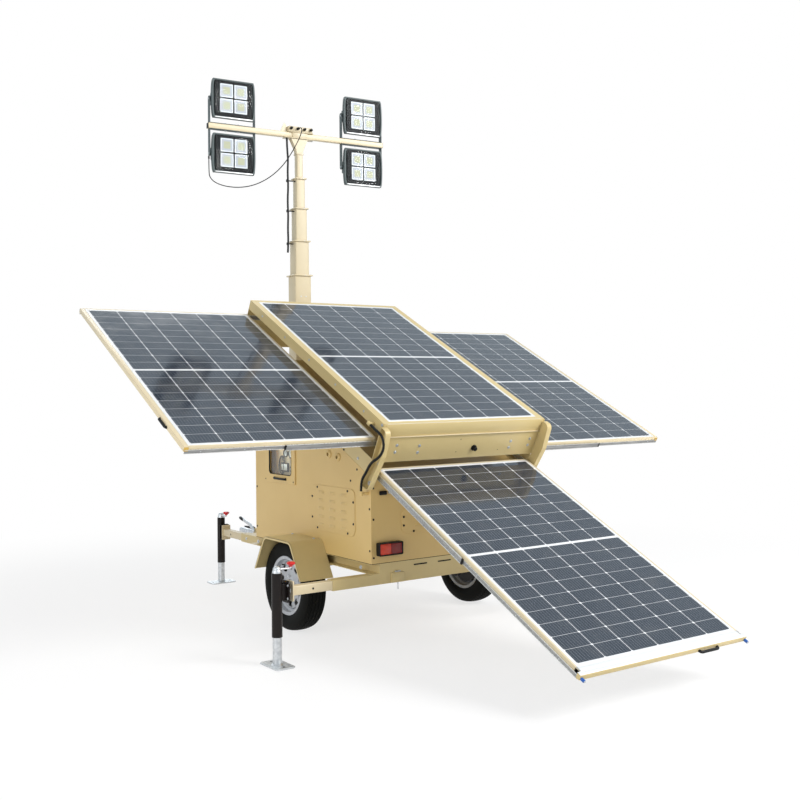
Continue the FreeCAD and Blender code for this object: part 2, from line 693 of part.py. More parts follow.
door_hole = box("door_hole", (-v.cab_half, door_rear + opening_lap, v.door_low + opening_lap),
                (-wall_in, door_front - opening_lap, door_top - opening_lap))
left_cut = cut("left_wall", left_wall, [door_hole, side_vent("vent_left", -v.cab_half)])
hinge_x = v.cab_half + v.door_gap + v.hinge_rad
hinge_z = door_top + v.hinge_rad + 1
knuckles = []
for number, along in enumerate((door_rear + 30, door_front - 70)):
    knuckles.append(rod("knuckle_%d" % number, (-hinge_x, along, hinge_z), v.hinge_rad, 40, Y))
    knuckles.append(box("knuckle_leaf_%d" % number, (-v.cab_half - 3, along, hinge_z),
                        (-v.cab_half, along + 40, hinge_z + 26)))
conduit_x = -(v.cab_half + v.arm_thick + v.conduit_off)
conduit_end_u = -53.4
conduit_end_n = -432.4
elbow_y = v.tray_y + conduit_end_u * cosine - conduit_end_n * sine
elbow_z = v.tray_z + conduit_end_u * sine + conduit_end_n * cosine
wall_gland = [
    rod("wall_gland", (conduit_x, elbow_y, elbow_z - 26), 12, 26),
    rod("wall_gland_stem", (conduit_x, elbow_y, elbow_z - 14), 9, -v.cab_half - conduit_x, X),
]
left_panel = fuse("left_panel", [left_cut] + knuckles + wall_gland)
right_panel = cut("right_panel", right_wall, [side_vent("vent_right", wall_in)])
keep("cabinet_side_walls", group("side_walls", [left_panel, right_panel]))


def end_wall(name, near, far):
    """A cross wall whose top follows the roof's slope."""
    return plate(name, "YZ", [(near, wall_low), (far, wall_low), (far, roof_line(far, under_roof)),
                              (near, roof_line(near, under_roof))], wall_in * 2, -wall_in)


rear_wall = end_wall("rear_wall", v.cab_rear, v.cab_rear + v.cab_wall)
front_wall = end_wall("front_wall", cab_front - v.cab_wall, cab_front)
steady_mid = v.steady_z + v.steady_high / 2
steady_low = steady_mid - v.steady_plate / 2
keep("cabinet_end_walls", group("end_walls", [rear_wall, front_wall]))
keep("cabinet_roof", plate("roof_sheet", "YZ", [
    (v.cab_rear, roof_line(v.cab_rear, under_roof)), (cab_front, roof_line(cab_front, under_roof)),
    (cab_front, roof_line(cab_front)), (v.cab_rear, roof_line(v.cab_rear))], v.cab_half * 2, -v.cab_half))

# louvre covers: (name, rows, columns); each louvre is a small hood on the cover
slat_lift = (v.louvre_high - v.slat_pitch * 4) / 2
louvre_parts = []
cover = rounded_box("side_cover", "YZ", (v.louvre_y - v.louvre_wide / 2, v.louvre_low),
                    (v.louvre_y + v.louvre_wide / 2, v.louvre_low + v.louvre_high), v.cover_thick, v.cab_half,
                    38)
hoods = []
for row in range(5):
    for column in range(3):
        hood_y = v.louvre_y + v.slat_step * (column - 1)
        hood_z = v.louvre_low + slat_lift + v.slat_pitch * row
        hoods.append(plate("hood_%d_%d" % (row, column), "XZ", [
            (v.cab_half + v.cover_thick, hood_z - v.slat_high / 2),
            (v.cab_half + v.cover_thick + v.slat_out, hood_z - v.slat_high / 2),
            (v.cab_half + v.cover_thick, hood_z + v.slat_high / 2)],
            v.slat_wide, hood_y + v.slat_wide / 2))
right_cover = fuse("right_cover", [cover] + hoods)
rear_cover_half = v.rear_louvre_wide / 2
rear_plate = rounded_box("rear_cover", "XZ", (-rear_cover_half, v.rear_louvre_low),
                         (rear_cover_half, v.rear_louvre_low + v.rear_louvre_high), v.cover_thick, v.cab_rear,
                         30)
rear_hoods = []
for row in range(2):
    for column in range(5):
        hood_x = v.slat_step * (column - 2)
        hood_z = v.rear_louvre_low + v.rear_louvre_high / 2 + v.slat_pitch * (row - 0.5)
        rear_face = v.cab_rear - v.cover_thick
        rear_hoods.append(plate("rear_hood_%d_%d" % (row, column), "YZ", [
            (rear_face, hood_z - v.slat_high / 2), (rear_face, hood_z + v.slat_high / 2),
            (rear_face - v.slat_out, hood_z - v.slat_high / 2)], v.slat_wide, hood_x - v.slat_wide / 2))
keep("louvre_covers", group("covers", [
    right_cover, mirrored("left_cover", right_cover), fuse("back_cover", [rear_plate] + rear_hoods)]))

# the control window: a top-hung door with a clear pane, and the board behind it
pane_low = v.door_low + v.pane_lift
pane_rear = v.door_y - v.pane_wide / 2 - 8
door_face = -v.cab_half - v.door_gap - v.door_thick
door_plate = rounded_box("door_plate", "YZ", (door_rear, v.door_low), (door_front, door_top), v.door_thick,
                         door_face, 8)
pane_hole = rounded_box("pane_hole", "YZ", (pane_rear, pane_low),
                        (pane_rear + v.pane_wide, pane_low + v.pane_high),
                        v.door_thick, door_face, v.pane_round)
door_barrel = rod("door_barrel", (-hinge_x, door_rear + 71, hinge_z), v.hinge_rad, v.door_wide - 142, Y)
door_neck = box("door_neck", (-hinge_x - 2, door_rear + 71, door_top - 1),
                (-hinge_x + 4, door_front - 71, hinge_z))
pull_bar = rod("door_pull", (door_face - 14, pane_rear + 65, v.door_low + 30), v.pull_rad, v.pull_long, Y)
pull_legs = [rod("door_pull_leg_%d" % n, (door_face - 14, pane_rear + 65 + off, v.door_low + 30), v.pull_rad,
                 14, X) for n, off in enumerate((10, 150))]
keep("control_door", fuse("control_door_body",
                  [cut("door_frame", door_plate, [pane_hole]), door_barrel, door_neck, pull_bar] + pull_legs))
keep("control_pane", rounded_box(
    "pane_sheet", "YZ", (pane_rear - v.pane_lap, pane_low - v.pane_lap),
    (pane_rear + v.pane_wide + v.pane_lap, pane_low + v.pane_high + v.pane_lap),
    v.pane_thick, -v.cab_half - v.door_gap, v.pane_round))
board_x = -wall_in + v.board_deep
board = box("board_sheet", (board_x, door_rear - 10, v.door_low - 20),
            (board_x + 12, door_front + 10, door_top + 30))
board_parts = [board]
for number, (off_y, off_z) in enumerate(((0, -10), (1, -10), (0, 1), (1, 1))):
    post_y = door_rear + 4 + (v.door_wide - 8) * off_y
    post_z = v.door_low - 10 if off_z < 0 else door_top + 18
    board_parts.append(rod("board_post_%d" % number, (-wall_in, post_y, post_z), 8, v.board_deep, X))
GAUGES = ((-90, 150, 34), (-15, 150, 34), (60, 150, 26))
for number, (gauge_y, gauge_z, gauge_rad) in enumerate(GAUGES):
    board_parts.append(rod("gauge_%d" % number, (board_x - 10, v.door_y + gauge_y, v.door_low + gauge_z + 40),
                           gauge_rad, 10, X))
SWITCHES = ((-110, 70, 40, 34), (-50, 70, 40, 34), (20, 66, 90, 60))
for number, (low_y, low_z, wide, high) in enumerate(SWITCHES):
    board_parts.append(box("switch_%d" % number, (board_x - 14, v.door_y + low_y, v.door_low + low_z),
                           (board_x, v.door_y + low_y + wide, v.door_low + low_z + high)))
keep("control_board", fuse("control_board_body", board_parts))
keep("battery_bank", box("battery_block", (-v.bank_wide / 2, v.axle_y - v.bank_long / 2, wall_low),
                         (v.bank_wide / 2, v.axle_y + v.bank_long / 2, wall_low + v.bank_high)))
tail = rounded_box("tail_right", "XZ", (v.lamp_x - v.tail_wide / 2, v.lamp_low),
                   (v.lamp_x + v.tail_wide / 2, v.lamp_low + v.tail_high), v.tail_deep, v.cab_rear, 8)
keep("tail_lamps", group("tails", [tail, mirrored("tail_left", tail)]))

# the bracket that steadies the mast from the cabinet's front wall
steady_half = v.steady_rad + 25
steady_plate = plate("steady_plate", "XY", [
    (-steady_half, cab_front), (steady_half, cab_front), (steady_half, v.mast_y + 30),
    (steady_half - 45, v.mast_y + steady_half), (45 - steady_half, v.mast_y + steady_half),
    (-steady_half, v.mast_y + 30)], v.steady_plate, steady_low)
steady_flange = box("steady_flange", (-steady_half, cab_front, steady_low - 60),
                    (steady_half, cab_front + 8, steady_low))
steady_hole = rod("steady_hole", (0, v.mast_y, steady_low - 10), v.steady_rad + v.steady_gap,
                  v.steady_plate + 20)
keep("mast_bracket", cut("mast_steady", fuse("steady_solid", [steady_plate, steady_flange]), [steady_hole]))

# outriggers, jack tubes and jack legs, worked out from the beam's end with x outwards
beam_z = v.frame_low - v.rail / 2
half_beam = v.rail / 2 - v.rail_wall - v.beam_gap


def outrigger(tag):
    """Inner beam, end plate and swivel boss."""
    tube = hollow("beam_" + tag, (-v.beam_long, -half_beam, -half_beam), (0, half_beam, half_beam),
                  v.beam_wall, 0)
    plate_end = box("beam_end_" + tag, (0, -35, -55), (v.end_plate, 35, 55))
    boss = rod("beam_boss_" + tag, (v.end_plate, 0, 0), v.boss_rad, v.boss_long - v.end_plate, X)
    return fuse("outrigger_" + tag, [tube, plate_end, boss])


def jack_tube(tag):
    """Swivel plate, outer tube, gear head and crank."""
    near = v.boss_long + v.swivel_gap
    swivel = plate("swivel_" + tag, "YZ", [(-42, -60), (42, -60), (42, 60), (-42, 60)], 8, near,
                   [(0, 20), (1, 20), (2, 20), (3, 20)])
    web = box("web_" + tag, (near + 8, -20, -45), (v.jack_out, 20, 45))
    outer = rod("jack_outer_" + tag, (v.jack_out, 0, -v.jack_under), v.jack_rad, v.jack_under + v.jack_over)
    bore = rod("jack_hollow_" + tag, (v.jack_out, 0, -v.jack_under), v.jack_bore,
               v.jack_under + v.jack_over - 12)
    cap = rod("jack_cap_" + tag, (v.jack_out, 0, v.jack_over), v.jack_rad - 4, 18)
    crank_z = v.jack_over + 18
    crank = rod("crank_" + tag, (v.jack_out - v.crank_long, 0, crank_z), 6, v.crank_long, X)
    head = doc.addObject("Part::Sphere", "gear_" + tag)
    bind(head, "Radius", v.jack_rad - 7)
    place(head, (v.jack_out, 0, crank_z))
    knob = rod("knob_" + tag, (v.jack_out - v.crank_long + 6, 0, crank_z), v.knob_rad, 34)
    return cut("jack_tube_" + tag, fuse("jack_solid_" + tag, [swivel, web, outer, cap, crank, head, knob]),
               [bore])


def jack_leg(tag):
    """Inner leg with its foot plate."""
    leg = rod("leg_" + tag, (v.jack_out, 0, v.foot_thick - beam_z), v.leg_rad,
              beam_z - v.leg_under - v.foot_thick)
    foot = box("foot_" + tag, (v.jack_out - v.foot_wide / 2, -v.foot_long / 2, -beam_z),
               (v.jack_out + v.foot_wide / 2, v.foot_long / 2, v.foot_thick - beam_z))
    return fuse("jack_leg_" + tag, [leg, foot])


# name, beam end along X and Y, and the way the beam points, in degrees
OUTRIGGERS = (
    ("rear_left", -v.rear_reach, v.cab_rear + v.rail / 2, 180.0),
    ("rear_right", v.rear_reach, v.cab_rear + v.rail / 2, 0.0),
    ("front_left", -v.front_socket_x, v.front_reach, 90.0),
    ("front_right", v.front_socket_x, v.front_reach, 90.0),
)
for tag, end_x, end_y, turn in OUTRIGGERS:
    spot = (end_x, end_y, beam_z)
    keep("outrigger_beam_" + tag, place(outrigger(tag), spot, Z, turn))
    keep("jack_tube_" + tag, place(jack_tube(tag), spot, Z, turn))
    keep("jack_leg_" + tag, place(jack_leg(tag), spot, Z, turn))

# the mast, worked out round its own axis
base_half = v.mast_wide / 2
flange_low = mast_seat + v.turn_gap
base_flange = rod("turn_flange", (0, 0, flange_low), v.turn_rad, 12)
base_tube = hollow("base_tube", (-base_half, -base_half, flange_low + 12),
                   (base_half, base_half, v.mast_top - v.collar_thick),
                   v.mast_wall, 2)
steady_ring = cut("steady_ring", rod("steady_disc", (0, 0, v.steady_z), v.steady_rad, v.steady_high), [
    box("steady_square", (-base_half + v.mast_wall, -base_half + v.mast_wall, v.steady_z),
        (base_half - v.mast_wall, base_half - v.mast_wall, v.steady_z + v.steady_high))])


def collar(name, half, next_half, top):
    """The plate on a section's top that guides the next section."""
    out = half + v.collar_out
    way = next_half + v.stage_gap
    plate_top = box(name + "_plate", (-out, -out, top - v.collar_thick), (out, out, top))
    return cut(name, plate_top, [box(name + "_way", (-way, -way, top - v.collar_thick), (way, way, top))])


base_collar = collar("base_collar", base_half, base_half - v.mast_step / 2, v.mast_top)
keep("mast_base", on_mast("mast_base_turned",
                          [fuse("mast_base_body", [base_flange, base_tube, steady_ring, base_collar])]))
SHOWS = (v.show_1, v.show_2, v.show_3, v.show_4)
top = v.mast_top
half = base_half
for number, show in enumerate(SHOWS, start=1):
    parent_inner = half - v.mast_wall
    half = half - v.mast_step / 2
    top = top + show
    low = v.stage_low + v.stage_rise * (number - 1)
    tube = hollow("stage_tube_%d" % number, (-half, -half, low), (half, half, top - v.collar_thick),
                  v.mast_wall, 2)
    pad_half = parent_inner - v.stage_gap
    inside = half - v.mast_wall
    pads = cut("stage_pads_%d" % number,
               box("stage_pad_%d" % number, (-pad_half, -pad_half, low),
                   (pad_half, pad_half, low + v.guide_high)),
               [box("stage_pad_way_%d" % number, (-inside, -inside, low),
                    (inside, inside, low + v.guide_high))])
    if number < len(SHOWS):
        cap = collar("stage_collar_%d" % number, half, half - v.mast_step / 2, top)
    else:
        out = half + v.cap_out
        cap = box("stage_cap", (-out, -out, top - v.collar_thick), (out, out, top))
    keep("mast_stage_%d" % number,
         on_mast("stage_turned_%d" % number, [fuse("stage_body_%d" % number, [tube, pads, cap])]))

# the head, the crossbar and the four floodlight brackets
bar_low_z = top + v.bar_rise
bar_top_z = bar_low_z + v.bar_sect
bar_mid_z = bar_low_z + v.bar_sect / 2
half_bar = v.bar_sect / 2
neck = plate("head_neck", "XZ", [(-26, top), (26, top), (70, bar_low_z - 6), (-70, bar_low_z - 6)], 44, 22)
neck_hollow = plate("head_neck_hollow", "XZ",
                    [(-20, top + 6), (20, top + 6), (60, bar_low_z - 6), (-60, bar_low_z - 6)], 32, 16)
saddle = box("head_saddle", (-120, -half_bar - 12, bar_low_z - 6), (120, half_bar + 12, bar_low_z))
gland_box = box("gland_box", (-100, -34, bar_top_z), (110, 34, bar_top_z + 44))
gland_ear = plate("gland_ear", "XZ",
               [(-150, bar_top_z), (-100, bar_top_z), (-100, bar_top_z + 40), (-118, bar_top_z + 72)], 5, 2.5)
head_parts = [cut("head_cone", neck, [neck_hollow]), saddle, gland_box, gland_ear]
for number, side in enumerate((-1, 1)):
    near_y, far_y = sorted((side * (half_bar + v.member_gap), side * (half_bar + 6)), key=lambda s: s.number)
    head_parts.append(box("head_strap_%d" % number, (-60, near_y, bar_low_z - 6),
                          (60, far_y, bar_top_z + 10)))
# cable glands on the box: (place along the bar, side, height above the bar)
GLANDS = ((-75, -1, 26), (-20, -1, 26), (35, -1, 26), (88, -1, 26), (-60, 1, 22), (10, 1, 22), (80, 1, 22))
for number, (gland_x, side, lift) in enumerate(GLANDS):
    start_y = -34 - 24 if side < 0 else 34
    head_parts.append(rod("gland_%d" % number, (gland_x, start_y, bar_top_z + lift), 11, 24, Y))
keep("mast_head", on_mast("mast_head_turned", [fuse("mast_head_body", head_parts)]))
keep("crossbar", on_mast("crossbar_turned", [hollow(
    "crossbar_tube", (-v.bar_half, -half_bar, bar_low_z), (v.bar_half, half_bar, bar_top_z), v.bar_wall, 0)]))

half_flood = v.flood_wide / 2
leg_in = half_flood + v.yoke_gap
leg_out = leg_in + v.yoke_thick
half_yoke = v.yoke_wide / 2
# the four floodlights: name, side along the bar, above or below it
FLOODS = (("upper_left", -1, 1), ("upper_right", 1, 1), ("lower_left", -1, -1), ("lower_right", 1, -1))
yokes = []
for name, side, updown in FLOODS:
    centre_x = side * v.flood_x
    centre_z = bar_mid_z + updown * v.flood_z
    seat = bar_top_z if updown > 0 else bar_low_z
    far = centre_z + updown * (v.pivot_rad + 16)
    base_low, base_high = (seat, seat + v.yoke_thick) if updown > 0 else (seat - v.yoke_thick, seat)
    leg_low, leg_high = (seat, far) if updown > 0 else (far, seat)
    tag = name
    bracket = [
        box("yoke_base_" + tag, (centre_x - leg_out, -half_yoke, base_low),
            (centre_x + leg_out, half_yoke, base_high)),
        box("yoke_leg_a_" + tag, (centre_x - leg_out, -half_yoke, leg_low),
            (centre_x - leg_in, half_yoke, leg_high)),
        box("yoke_leg_b_" + tag, (centre_x + leg_in, -half_yoke, leg_low),
            (centre_x + leg_out, half_yoke, leg_high)),
    ]
    if name == "lower_left":
        bracket.append(rod("lead_gland", (centre_x - leg_out - 2, 0, far - 20), 6, 24))
    pin_way = rod("yoke_way_" + tag, (centre_x - leg_out - 1, 0, centre_z), v.pivot_rad + 0.1,
                  leg_out * 2 + 2, X)
    yokes.append(cut("yoke_" + tag, fuse("yoke_solid_" + tag, bracket), [pin_way]))

    # one floodlight: a bowed rim, a finned back and its pivot
    face_y = -v.flood_ahead
    half_high = v.flood_high / 2
    bow = 10.0
    rim = plate("flood_rim_" + tag, "XZ", [
        (centre_x - half_flood + bow, centre_z - half_high),
        (centre_x + half_flood - bow, centre_z - half_high),
        (centre_x + half_flood, centre_z - half_high * 0.45),
        (centre_x + half_flood, centre_z + half_high * 0.45),
        (centre_x + half_flood - bow, centre_z + half_high),
        (centre_x - half_flood + bow, centre_z + half_high),
        (centre_x - half_flood, centre_z + half_high * 0.45),
        (centre_x - half_flood, centre_z - half_high * 0.45)],
        v.flood_rim, face_y + v.flood_rim, [(0, 12), (1, 12), (4, 12), (5, 12)])
    glass_way = box("flood_recess_" + tag, (centre_x - half_flood + 26, face_y, centre_z - half_high + 24),
                    (centre_x + half_flood - 26, face_y + 6, centre_z + half_high - 24))
    back = box("flood_back_" + tag,
               (centre_x - half_flood + 30, face_y + v.flood_rim, centre_z - half_high + 30),
               (centre_x + half_flood - 30, face_y + v.flood_rim + 30, centre_z + half_high - 30))
    parts = [cut("flood_shell_" + tag, rim, [glass_way]), back]
    spread = v.flood_wide - 80
    fins = int(v.fin_count.number)
    for index in range(fins):
        fin_x = centre_x - spread / 2 + spread * (index / (fins - 1.0))
        parts.append(box("fin_%s_%d" % (tag, index),
                         (fin_x - 2, face_y + v.flood_rim, centre_z - half_high + 22),
                         (fin_x + 2, face_y + v.flood_deep, centre_z + half_high - 22)))
    parts.append(rod("flood_pivot_" + tag, (centre_x - leg_out - 3, 0, centre_z), v.pivot_rad,
                     40 + v.yoke_gap, X))
    parts.append(rod("flood_pivot_b_" + tag, (centre_x + leg_out + 3 - 40 - v.yoke_gap, 0, centre_z),
                     v.pivot_rad,
                     40 + v.yoke_gap, X))
    keep("floodlight_" + tag, on_mast("floodlight_turned_" + tag, [fuse("floodlight_body_" + tag, parts)]))
keep("floodlight_brackets", on_mast("yokes_turned", yokes))

# the tray, worked out in X, u and n
half_module = v.module_wide / 2
module_low = -v.module_lip
module_high = v.module_long - v.module_lip
side_in = half_module + v.member_gap + v.member
slide_in_far = side_in + v.slide_gap + v.slide_in
slide_mid_far = slide_in_far + v.slide_gap + v.slide_mid
slide_out_near = slide_mid_far + v.slide_gap
side_sheet_in = slide_out_near + v.slide_out
side_sheet_out = side_sheet_in + v.tray_sheet
past_module = v.member_gap + v.member
end_in = module_low - past_module - (side_sheet_in - side_in)
end_out = end_in - v.tray_sheet
far_in = module_high + past_module + (side_sheet_in - side_in)
far_out = far_in + v.tray_sheet
rim_x = half_module + v.member_gap + v.top_bar
tray_parts = []
for side, sign in (("right", 1), ("left", -1)):
    low_x, high_x = sorted((sign * (half_module + v.member_gap), sign * rim_x), key=lambda s: s.number)
    channel = box("tray_bar_" + side, (low_x, end_in, -v.top_bar_high), (high_x, far_in, 0))
    gap_low, gap_high = sorted((sign * (half_module + v.member_gap), sign * (rim_x - v.tray_sheet)),
                               key=lambda s: s.number)
    channel_way = box("tray_bar_way_" + side, (gap_low, end_in, v.tray_sheet - v.top_bar_high),
                      (gap_high, far_in, -v.tray_sheet))
    tray_parts.append(cut("tray_channel_" + side, channel, [channel_way]))
    low_x, high_x = sorted((sign * side_sheet_in, sign * side_sheet_out), key=lambda s: s.number)
    tray_parts.append(box("tray_skirt_" + side, (low_x, end_out, -v.tray_deep),
                          (high_x, far_out, -v.skirt_top)))
    low_x, high_x = sorted((sign * (side_sheet_in - 40), sign * side_sheet_out), key=lambda s: s.number)
    tray_parts.append(box("tray_flange_" + side, (low_x, end_out, -v.tray_deep),
                          (high_x, far_out, v.tray_sheet - v.tray_deep)))
    down_z = -(v.layer * 3 + v.slide_drop)
    low_x, high_x = sorted((sign * slide_out_near, sign * side_sheet_in), key=lambda s: s.number)
    tray_parts.append(box("down_rail_" + side, (low_x, end_in, down_z - 22), (high_x, far_in, down_z + 22)))
tray_parts.append(rod("tray_gland", (conduit_x, 30, -45), 12, 26, Y))
tray_parts.append(rod("tray_gland_stem", (conduit_x, 46, -45), 9, -rim_x - conduit_x, X))
for name, near, far in (("near", end_in, module_low - v.member_gap),
                        ("far", module_high + v.member_gap, far_in)):
    tray_parts.append(box("tray_head_" + name, (-rim_x, near, -v.top_bar_high),
                          (rim_x, far, v.tray_sheet - v.top_bar_high)))
    tray_parts.append(box("tray_lip_" + name, (-rim_x, near, -v.tray_sheet), (rim_x, far, 0)))
tray_parts.append(box("tray_far_plate", (-rim_x, far_in, -v.tray_deep), (rim_x, far_out, 0)))
for number, along in enumerate((0.25, 0.5, 0.75)):
    beam_u = v.module_long * along
    tray_parts.append(box("tray_beam_%d" % number, (-half_module - 10, beam_u - 15, -v.top_bar_high),
                          (half_module + 10, beam_u + 15, -v.module_thick - v.member_gap)))
far_rails = []
for layer_number in (1, 2):
    level = -(v.layer * layer_number + v.slide_drop)
    tray_parts.append(box("far_rail_%d" % layer_number, (-side_sheet_out, far_in - v.slide_out, level - 22),
                          (side_sheet_out, far_in, level + 22)))
keep("tray_frame", in_tray("tray_frame_set", [fuse("tray_frame_body", tray_parts)]))

# the tray's end plate: top strip, lip, bolts and the lock's knob
end_parts = [box("end_sheet", (-rim_x, end_out, -v.end_low), (rim_x, end_in, 0)),
             box("end_lip", (1 - v.cab_half, end_out - 10, -84), (v.cab_half - 1, end_out, -80))]
for layer_number in (1, 2):
    level = -(v.layer * layer_number + v.slide_drop)
    end_parts.append(box("near_rail_%d" % layer_number, (-side_sheet_out, end_in, level - 22),
                         (side_sheet_out, end_in + v.slide_out, level + 22)))
# bolts on the end plate: place across and depth below the glass
BOLTS = ((-485, 140), (-485, 175), (-320, 150), (-320, 195), (390, 150), (390, 195), (545, 140), (545, 185))
for number, (bolt_x, bolt_n) in enumerate(BOLTS):
    end_parts.append(rod("end_bolt_%d" % number, (bolt_x, end_out - 6, -bolt_n), 8, 6, Y))
end_parts.append(rod("end_knob", (100, end_out - 26, -182), 13, 26, Y))
keep("tray_end_plate", in_tray("tray_end_set", [fuse("tray_end_body", end_parts)]))

# the two dog-leg arms between the tray's lower corners and the cabinet's rear corners
foot_u = -v.arm_foot_in
arm_outline = [
    (end_out, -14), (end_out, -v.end_low - 4), (foot_u + v.arm_rad, -v.arm_foot + 25),
    (foot_u + v.arm_rad, -v.arm_foot - v.arm_rad + 8), (foot_u - v.arm_rad, -v.arm_foot - v.arm_rad + 8),
    (foot_u - v.arm_rad - 8, -v.arm_foot + 10), (end_out - v.arm_wide - 16, -v.arm_knee),
    (end_out - v.arm_wide, -14)]
arm_plate = plate("arm_plate", "YZ", arm_outline, v.arm_thick, v.cab_half,
                  [(3, 26), (4, 26), (6, 30), (1, 20), (7, 24)])
arm_way = plate("arm_way", "YZ", [
    (end_out - 5, -19), (end_out - 5, -v.end_low - 6), (foot_u + v.arm_rad - 8, -v.arm_foot + 30),
    (foot_u - v.arm_rad + 2, -v.arm_foot + 22), (end_out - v.arm_wide - 8, -v.arm_knee),
    (end_out - v.arm_wide + 5, -19)],
    v.arm_thick - 5, v.cab_half + 5)
arm_bolt = rod("arm_bolt", (v.cab_half + v.arm_thick, foot_u, -v.arm_foot + 4), 14, 9, X)
arm_body = fuse("arm_body", [cut("arm_channel", arm_plate, [arm_way]), arm_bolt])
keep("tray_arms", in_tray("tray_arm_set", [arm_body, mirrored("arm_body_left", arm_body)]))


def module(tag, shift_x, shift_u, level):
    """A framed module: thin laminate in a frame that is open at the back."""
    low = (shift_x - half_module, shift_u + module_low, level - v.module_thick)
    high = (shift_x + half_module, shift_u + module_high, level)
    way_low = (low[0] + v.frame_bar, low[1] + v.frame_bar, low[2])
    way_high = (high[0] - v.frame_bar, high[1] - v.frame_bar, high[2] - v.laminate)
    return cut("module_" + tag, box("module_block_" + tag, low, high),
               [box("module_way_" + tag, way_low, way_high)])


keep("solar_module_top", in_tray("module_top_set", [module("top", as_size(0), as_size(0), as_size(0))]))

# side drawers: name, side, layer
handle_u = 250.0
for tag, sign, layer_number in (("left", -1, 1), ("right", 1, 2)):
    level = -v.layer * layer_number
    shift = sign * v.side_travel
    keep("solar_module_" + tag, in_tray("module_%s_set" % tag, [module(tag, shift, as_size(0), level)]))
    slide_n = level - v.slide_drop
    parts = []

    def across(name, near, far, low_u, high_u, low_n, high_n):
        """A block of this drawer between two distances outwards from its module's middle."""
        a, b = sorted((shift + sign * near, shift + sign * far), key=lambda s: s.number)
        return box("%s_%s" % (name, tag), (a, low_u, low_n), (b, high_u, high_n))

    inner = -half_module - v.member_gap - v.member
    outer = half_module + v.member_gap + v.front_bar
    near_u = module_low - v.member_gap - v.member
    far_u = module_high + v.member_gap + v.member
    parts.append(across("drawer_near", inner, outer, near_u, module_low - v.member_gap, level - v.member_high,
                        level))
    parts.append(across("drawer_far", inner, outer, module_high + v.member_gap, far_u, level - v.member_high,
                        level))
    parts.append(across("drawer_inner", inner, -half_module - v.member_gap, near_u, far_u,
                        level - v.member_high, level))
    parts.append(across("drawer_outer", outer - v.front_bar, outer, near_u, far_u, level - v.front_high,
                        level))
    for number, part_of in enumerate((-0.3, 0.3)):
        mid = as_size(v.module_wide * part_of)
        parts.append(across("drawer_cross_%d" % number, mid - 15, mid + 15, near_u, far_u,
                            level - v.member_high, level - v.module_thick))
    half_slide = v.side_in_long / 2
    for end, low_u, high_u in (("near", near_u - v.slide_gap - v.slide_in, near_u - v.slide_gap),
                               ("far", far_u + v.slide_gap, far_u + v.slide_gap + v.slide_in)):
        touch_low, touch_high = (low_u, near_u) if end == "near" else (far_u, high_u)
        parts.append(across("slide_in_" + end, -half_slide, half_slide, touch_low, touch_high, slide_n - 12,
                            slide_n + 12))
    grip_n = level - 18
    parts.append(across("grip_a", outer, outer + v.handle_out, handle_u - v.handle_wide / 2,
                        handle_u - v.handle_wide / 2 + 10, grip_n - 5, grip_n + 5))
    parts.append(across("grip_b", outer, outer + v.handle_out, handle_u + v.handle_wide / 2 - 10,
                        handle_u + v.handle_wide / 2, grip_n - 5, grip_n + 5))
    parts.append(across("grip_c", outer + v.handle_out - 10, outer + v.handle_out,
                        handle_u - v.handle_wide / 2,
                        handle_u + v.handle_wide / 2, grip_n - 5, grip_n + 5))
    keep("drawer_%s" % tag, in_tray("drawer_%s_set" % tag, [fuse("drawer_%s_body" % tag, parts)]))
    half_mid = v.side_mid_long / 2
    mids = []
    for end, low_u, high_u in (
            ("near", near_u - v.slide_gap * 2 - v.slide_in - v.slide_mid,
             near_u - v.slide_gap * 2 - v.slide_in),
            ("far", far_u + v.slide_gap * 2 + v.slide_in,
             far_u + v.slide_gap * 2 + v.slide_in + v.slide_mid)):
        mid_shift = shift / 2
        mids.append(box("slide_mid_%s_%s" % (end, tag), (mid_shift - half_mid, low_u, slide_n - 17),
                        (mid_shift + half_mid, high_u, slide_n + 17)))
    keep("drawer_slides_" + tag, in_tray("slides_%s_set" % tag, mids))

# the rear drawer, pulled down the slope
level = -v.layer * 3
slide_n = level - v.slide_drop
shift_u = -v.down_travel
keep("solar_module_rear", in_tray("module_rear_set", [module("rear", as_size(0), shift_u, level)]))
out_u = shift_u + module_low - v.member_gap - v.down_bar
in_u = shift_u + module_high + v.member_gap + v.member
half_side = half_module + v.member_gap + v.member
rear_parts = [
    box("rear_outer_bar", (v.rail_wall - side_sheet_out, out_u, level - v.down_high),
        (side_sheet_out - v.rail_wall, out_u + v.down_bar - v.down_lap, level)),
    box("rear_outer_shelf", (-half_side, out_u, level - v.down_high),
        (half_side, out_u + v.down_bar, level)),
    box("rear_inner_bar", (-half_side, in_u - v.member, level - v.member_high), (half_side, in_u, level)),
]
for side, sign in (("right", 1), ("left", -1)):
    a, b = sorted((sign * (half_module + v.member_gap), sign * half_side), key=lambda s: s.number)
    rear_parts.append(box("rear_member_" + side, (a, out_u + v.down_bar - v.down_lap, level - v.member_high),
                          (b, in_u, level)))
    a, b = sorted((sign * half_side, sign * (half_side + v.slide_gap + v.slide_in)), key=lambda s: s.number)
    rear_parts.append(box("rear_slide_in_" + side, (a, out_u + v.down_bar - v.down_lap, slide_n - 12),
                          (b, in_u, slide_n + 12)))
    rear_parts.append(rod("rear_catch_" + side, (sign * (half_side + 6), out_u - v.catch_out, level - 18), 8,
                          v.catch_out, Y))
for number, part_of in enumerate((0.2, 0.5, 0.8)):
    beam_u = shift_u + v.module_long * part_of
    rear_parts.append(box("rear_cross_%d" % number, (-half_side, beam_u - 15, level - v.member_high),
                          (half_side, beam_u + 15, level - v.module_thick)))
grip_x = 295.0
grip_n = level - 18
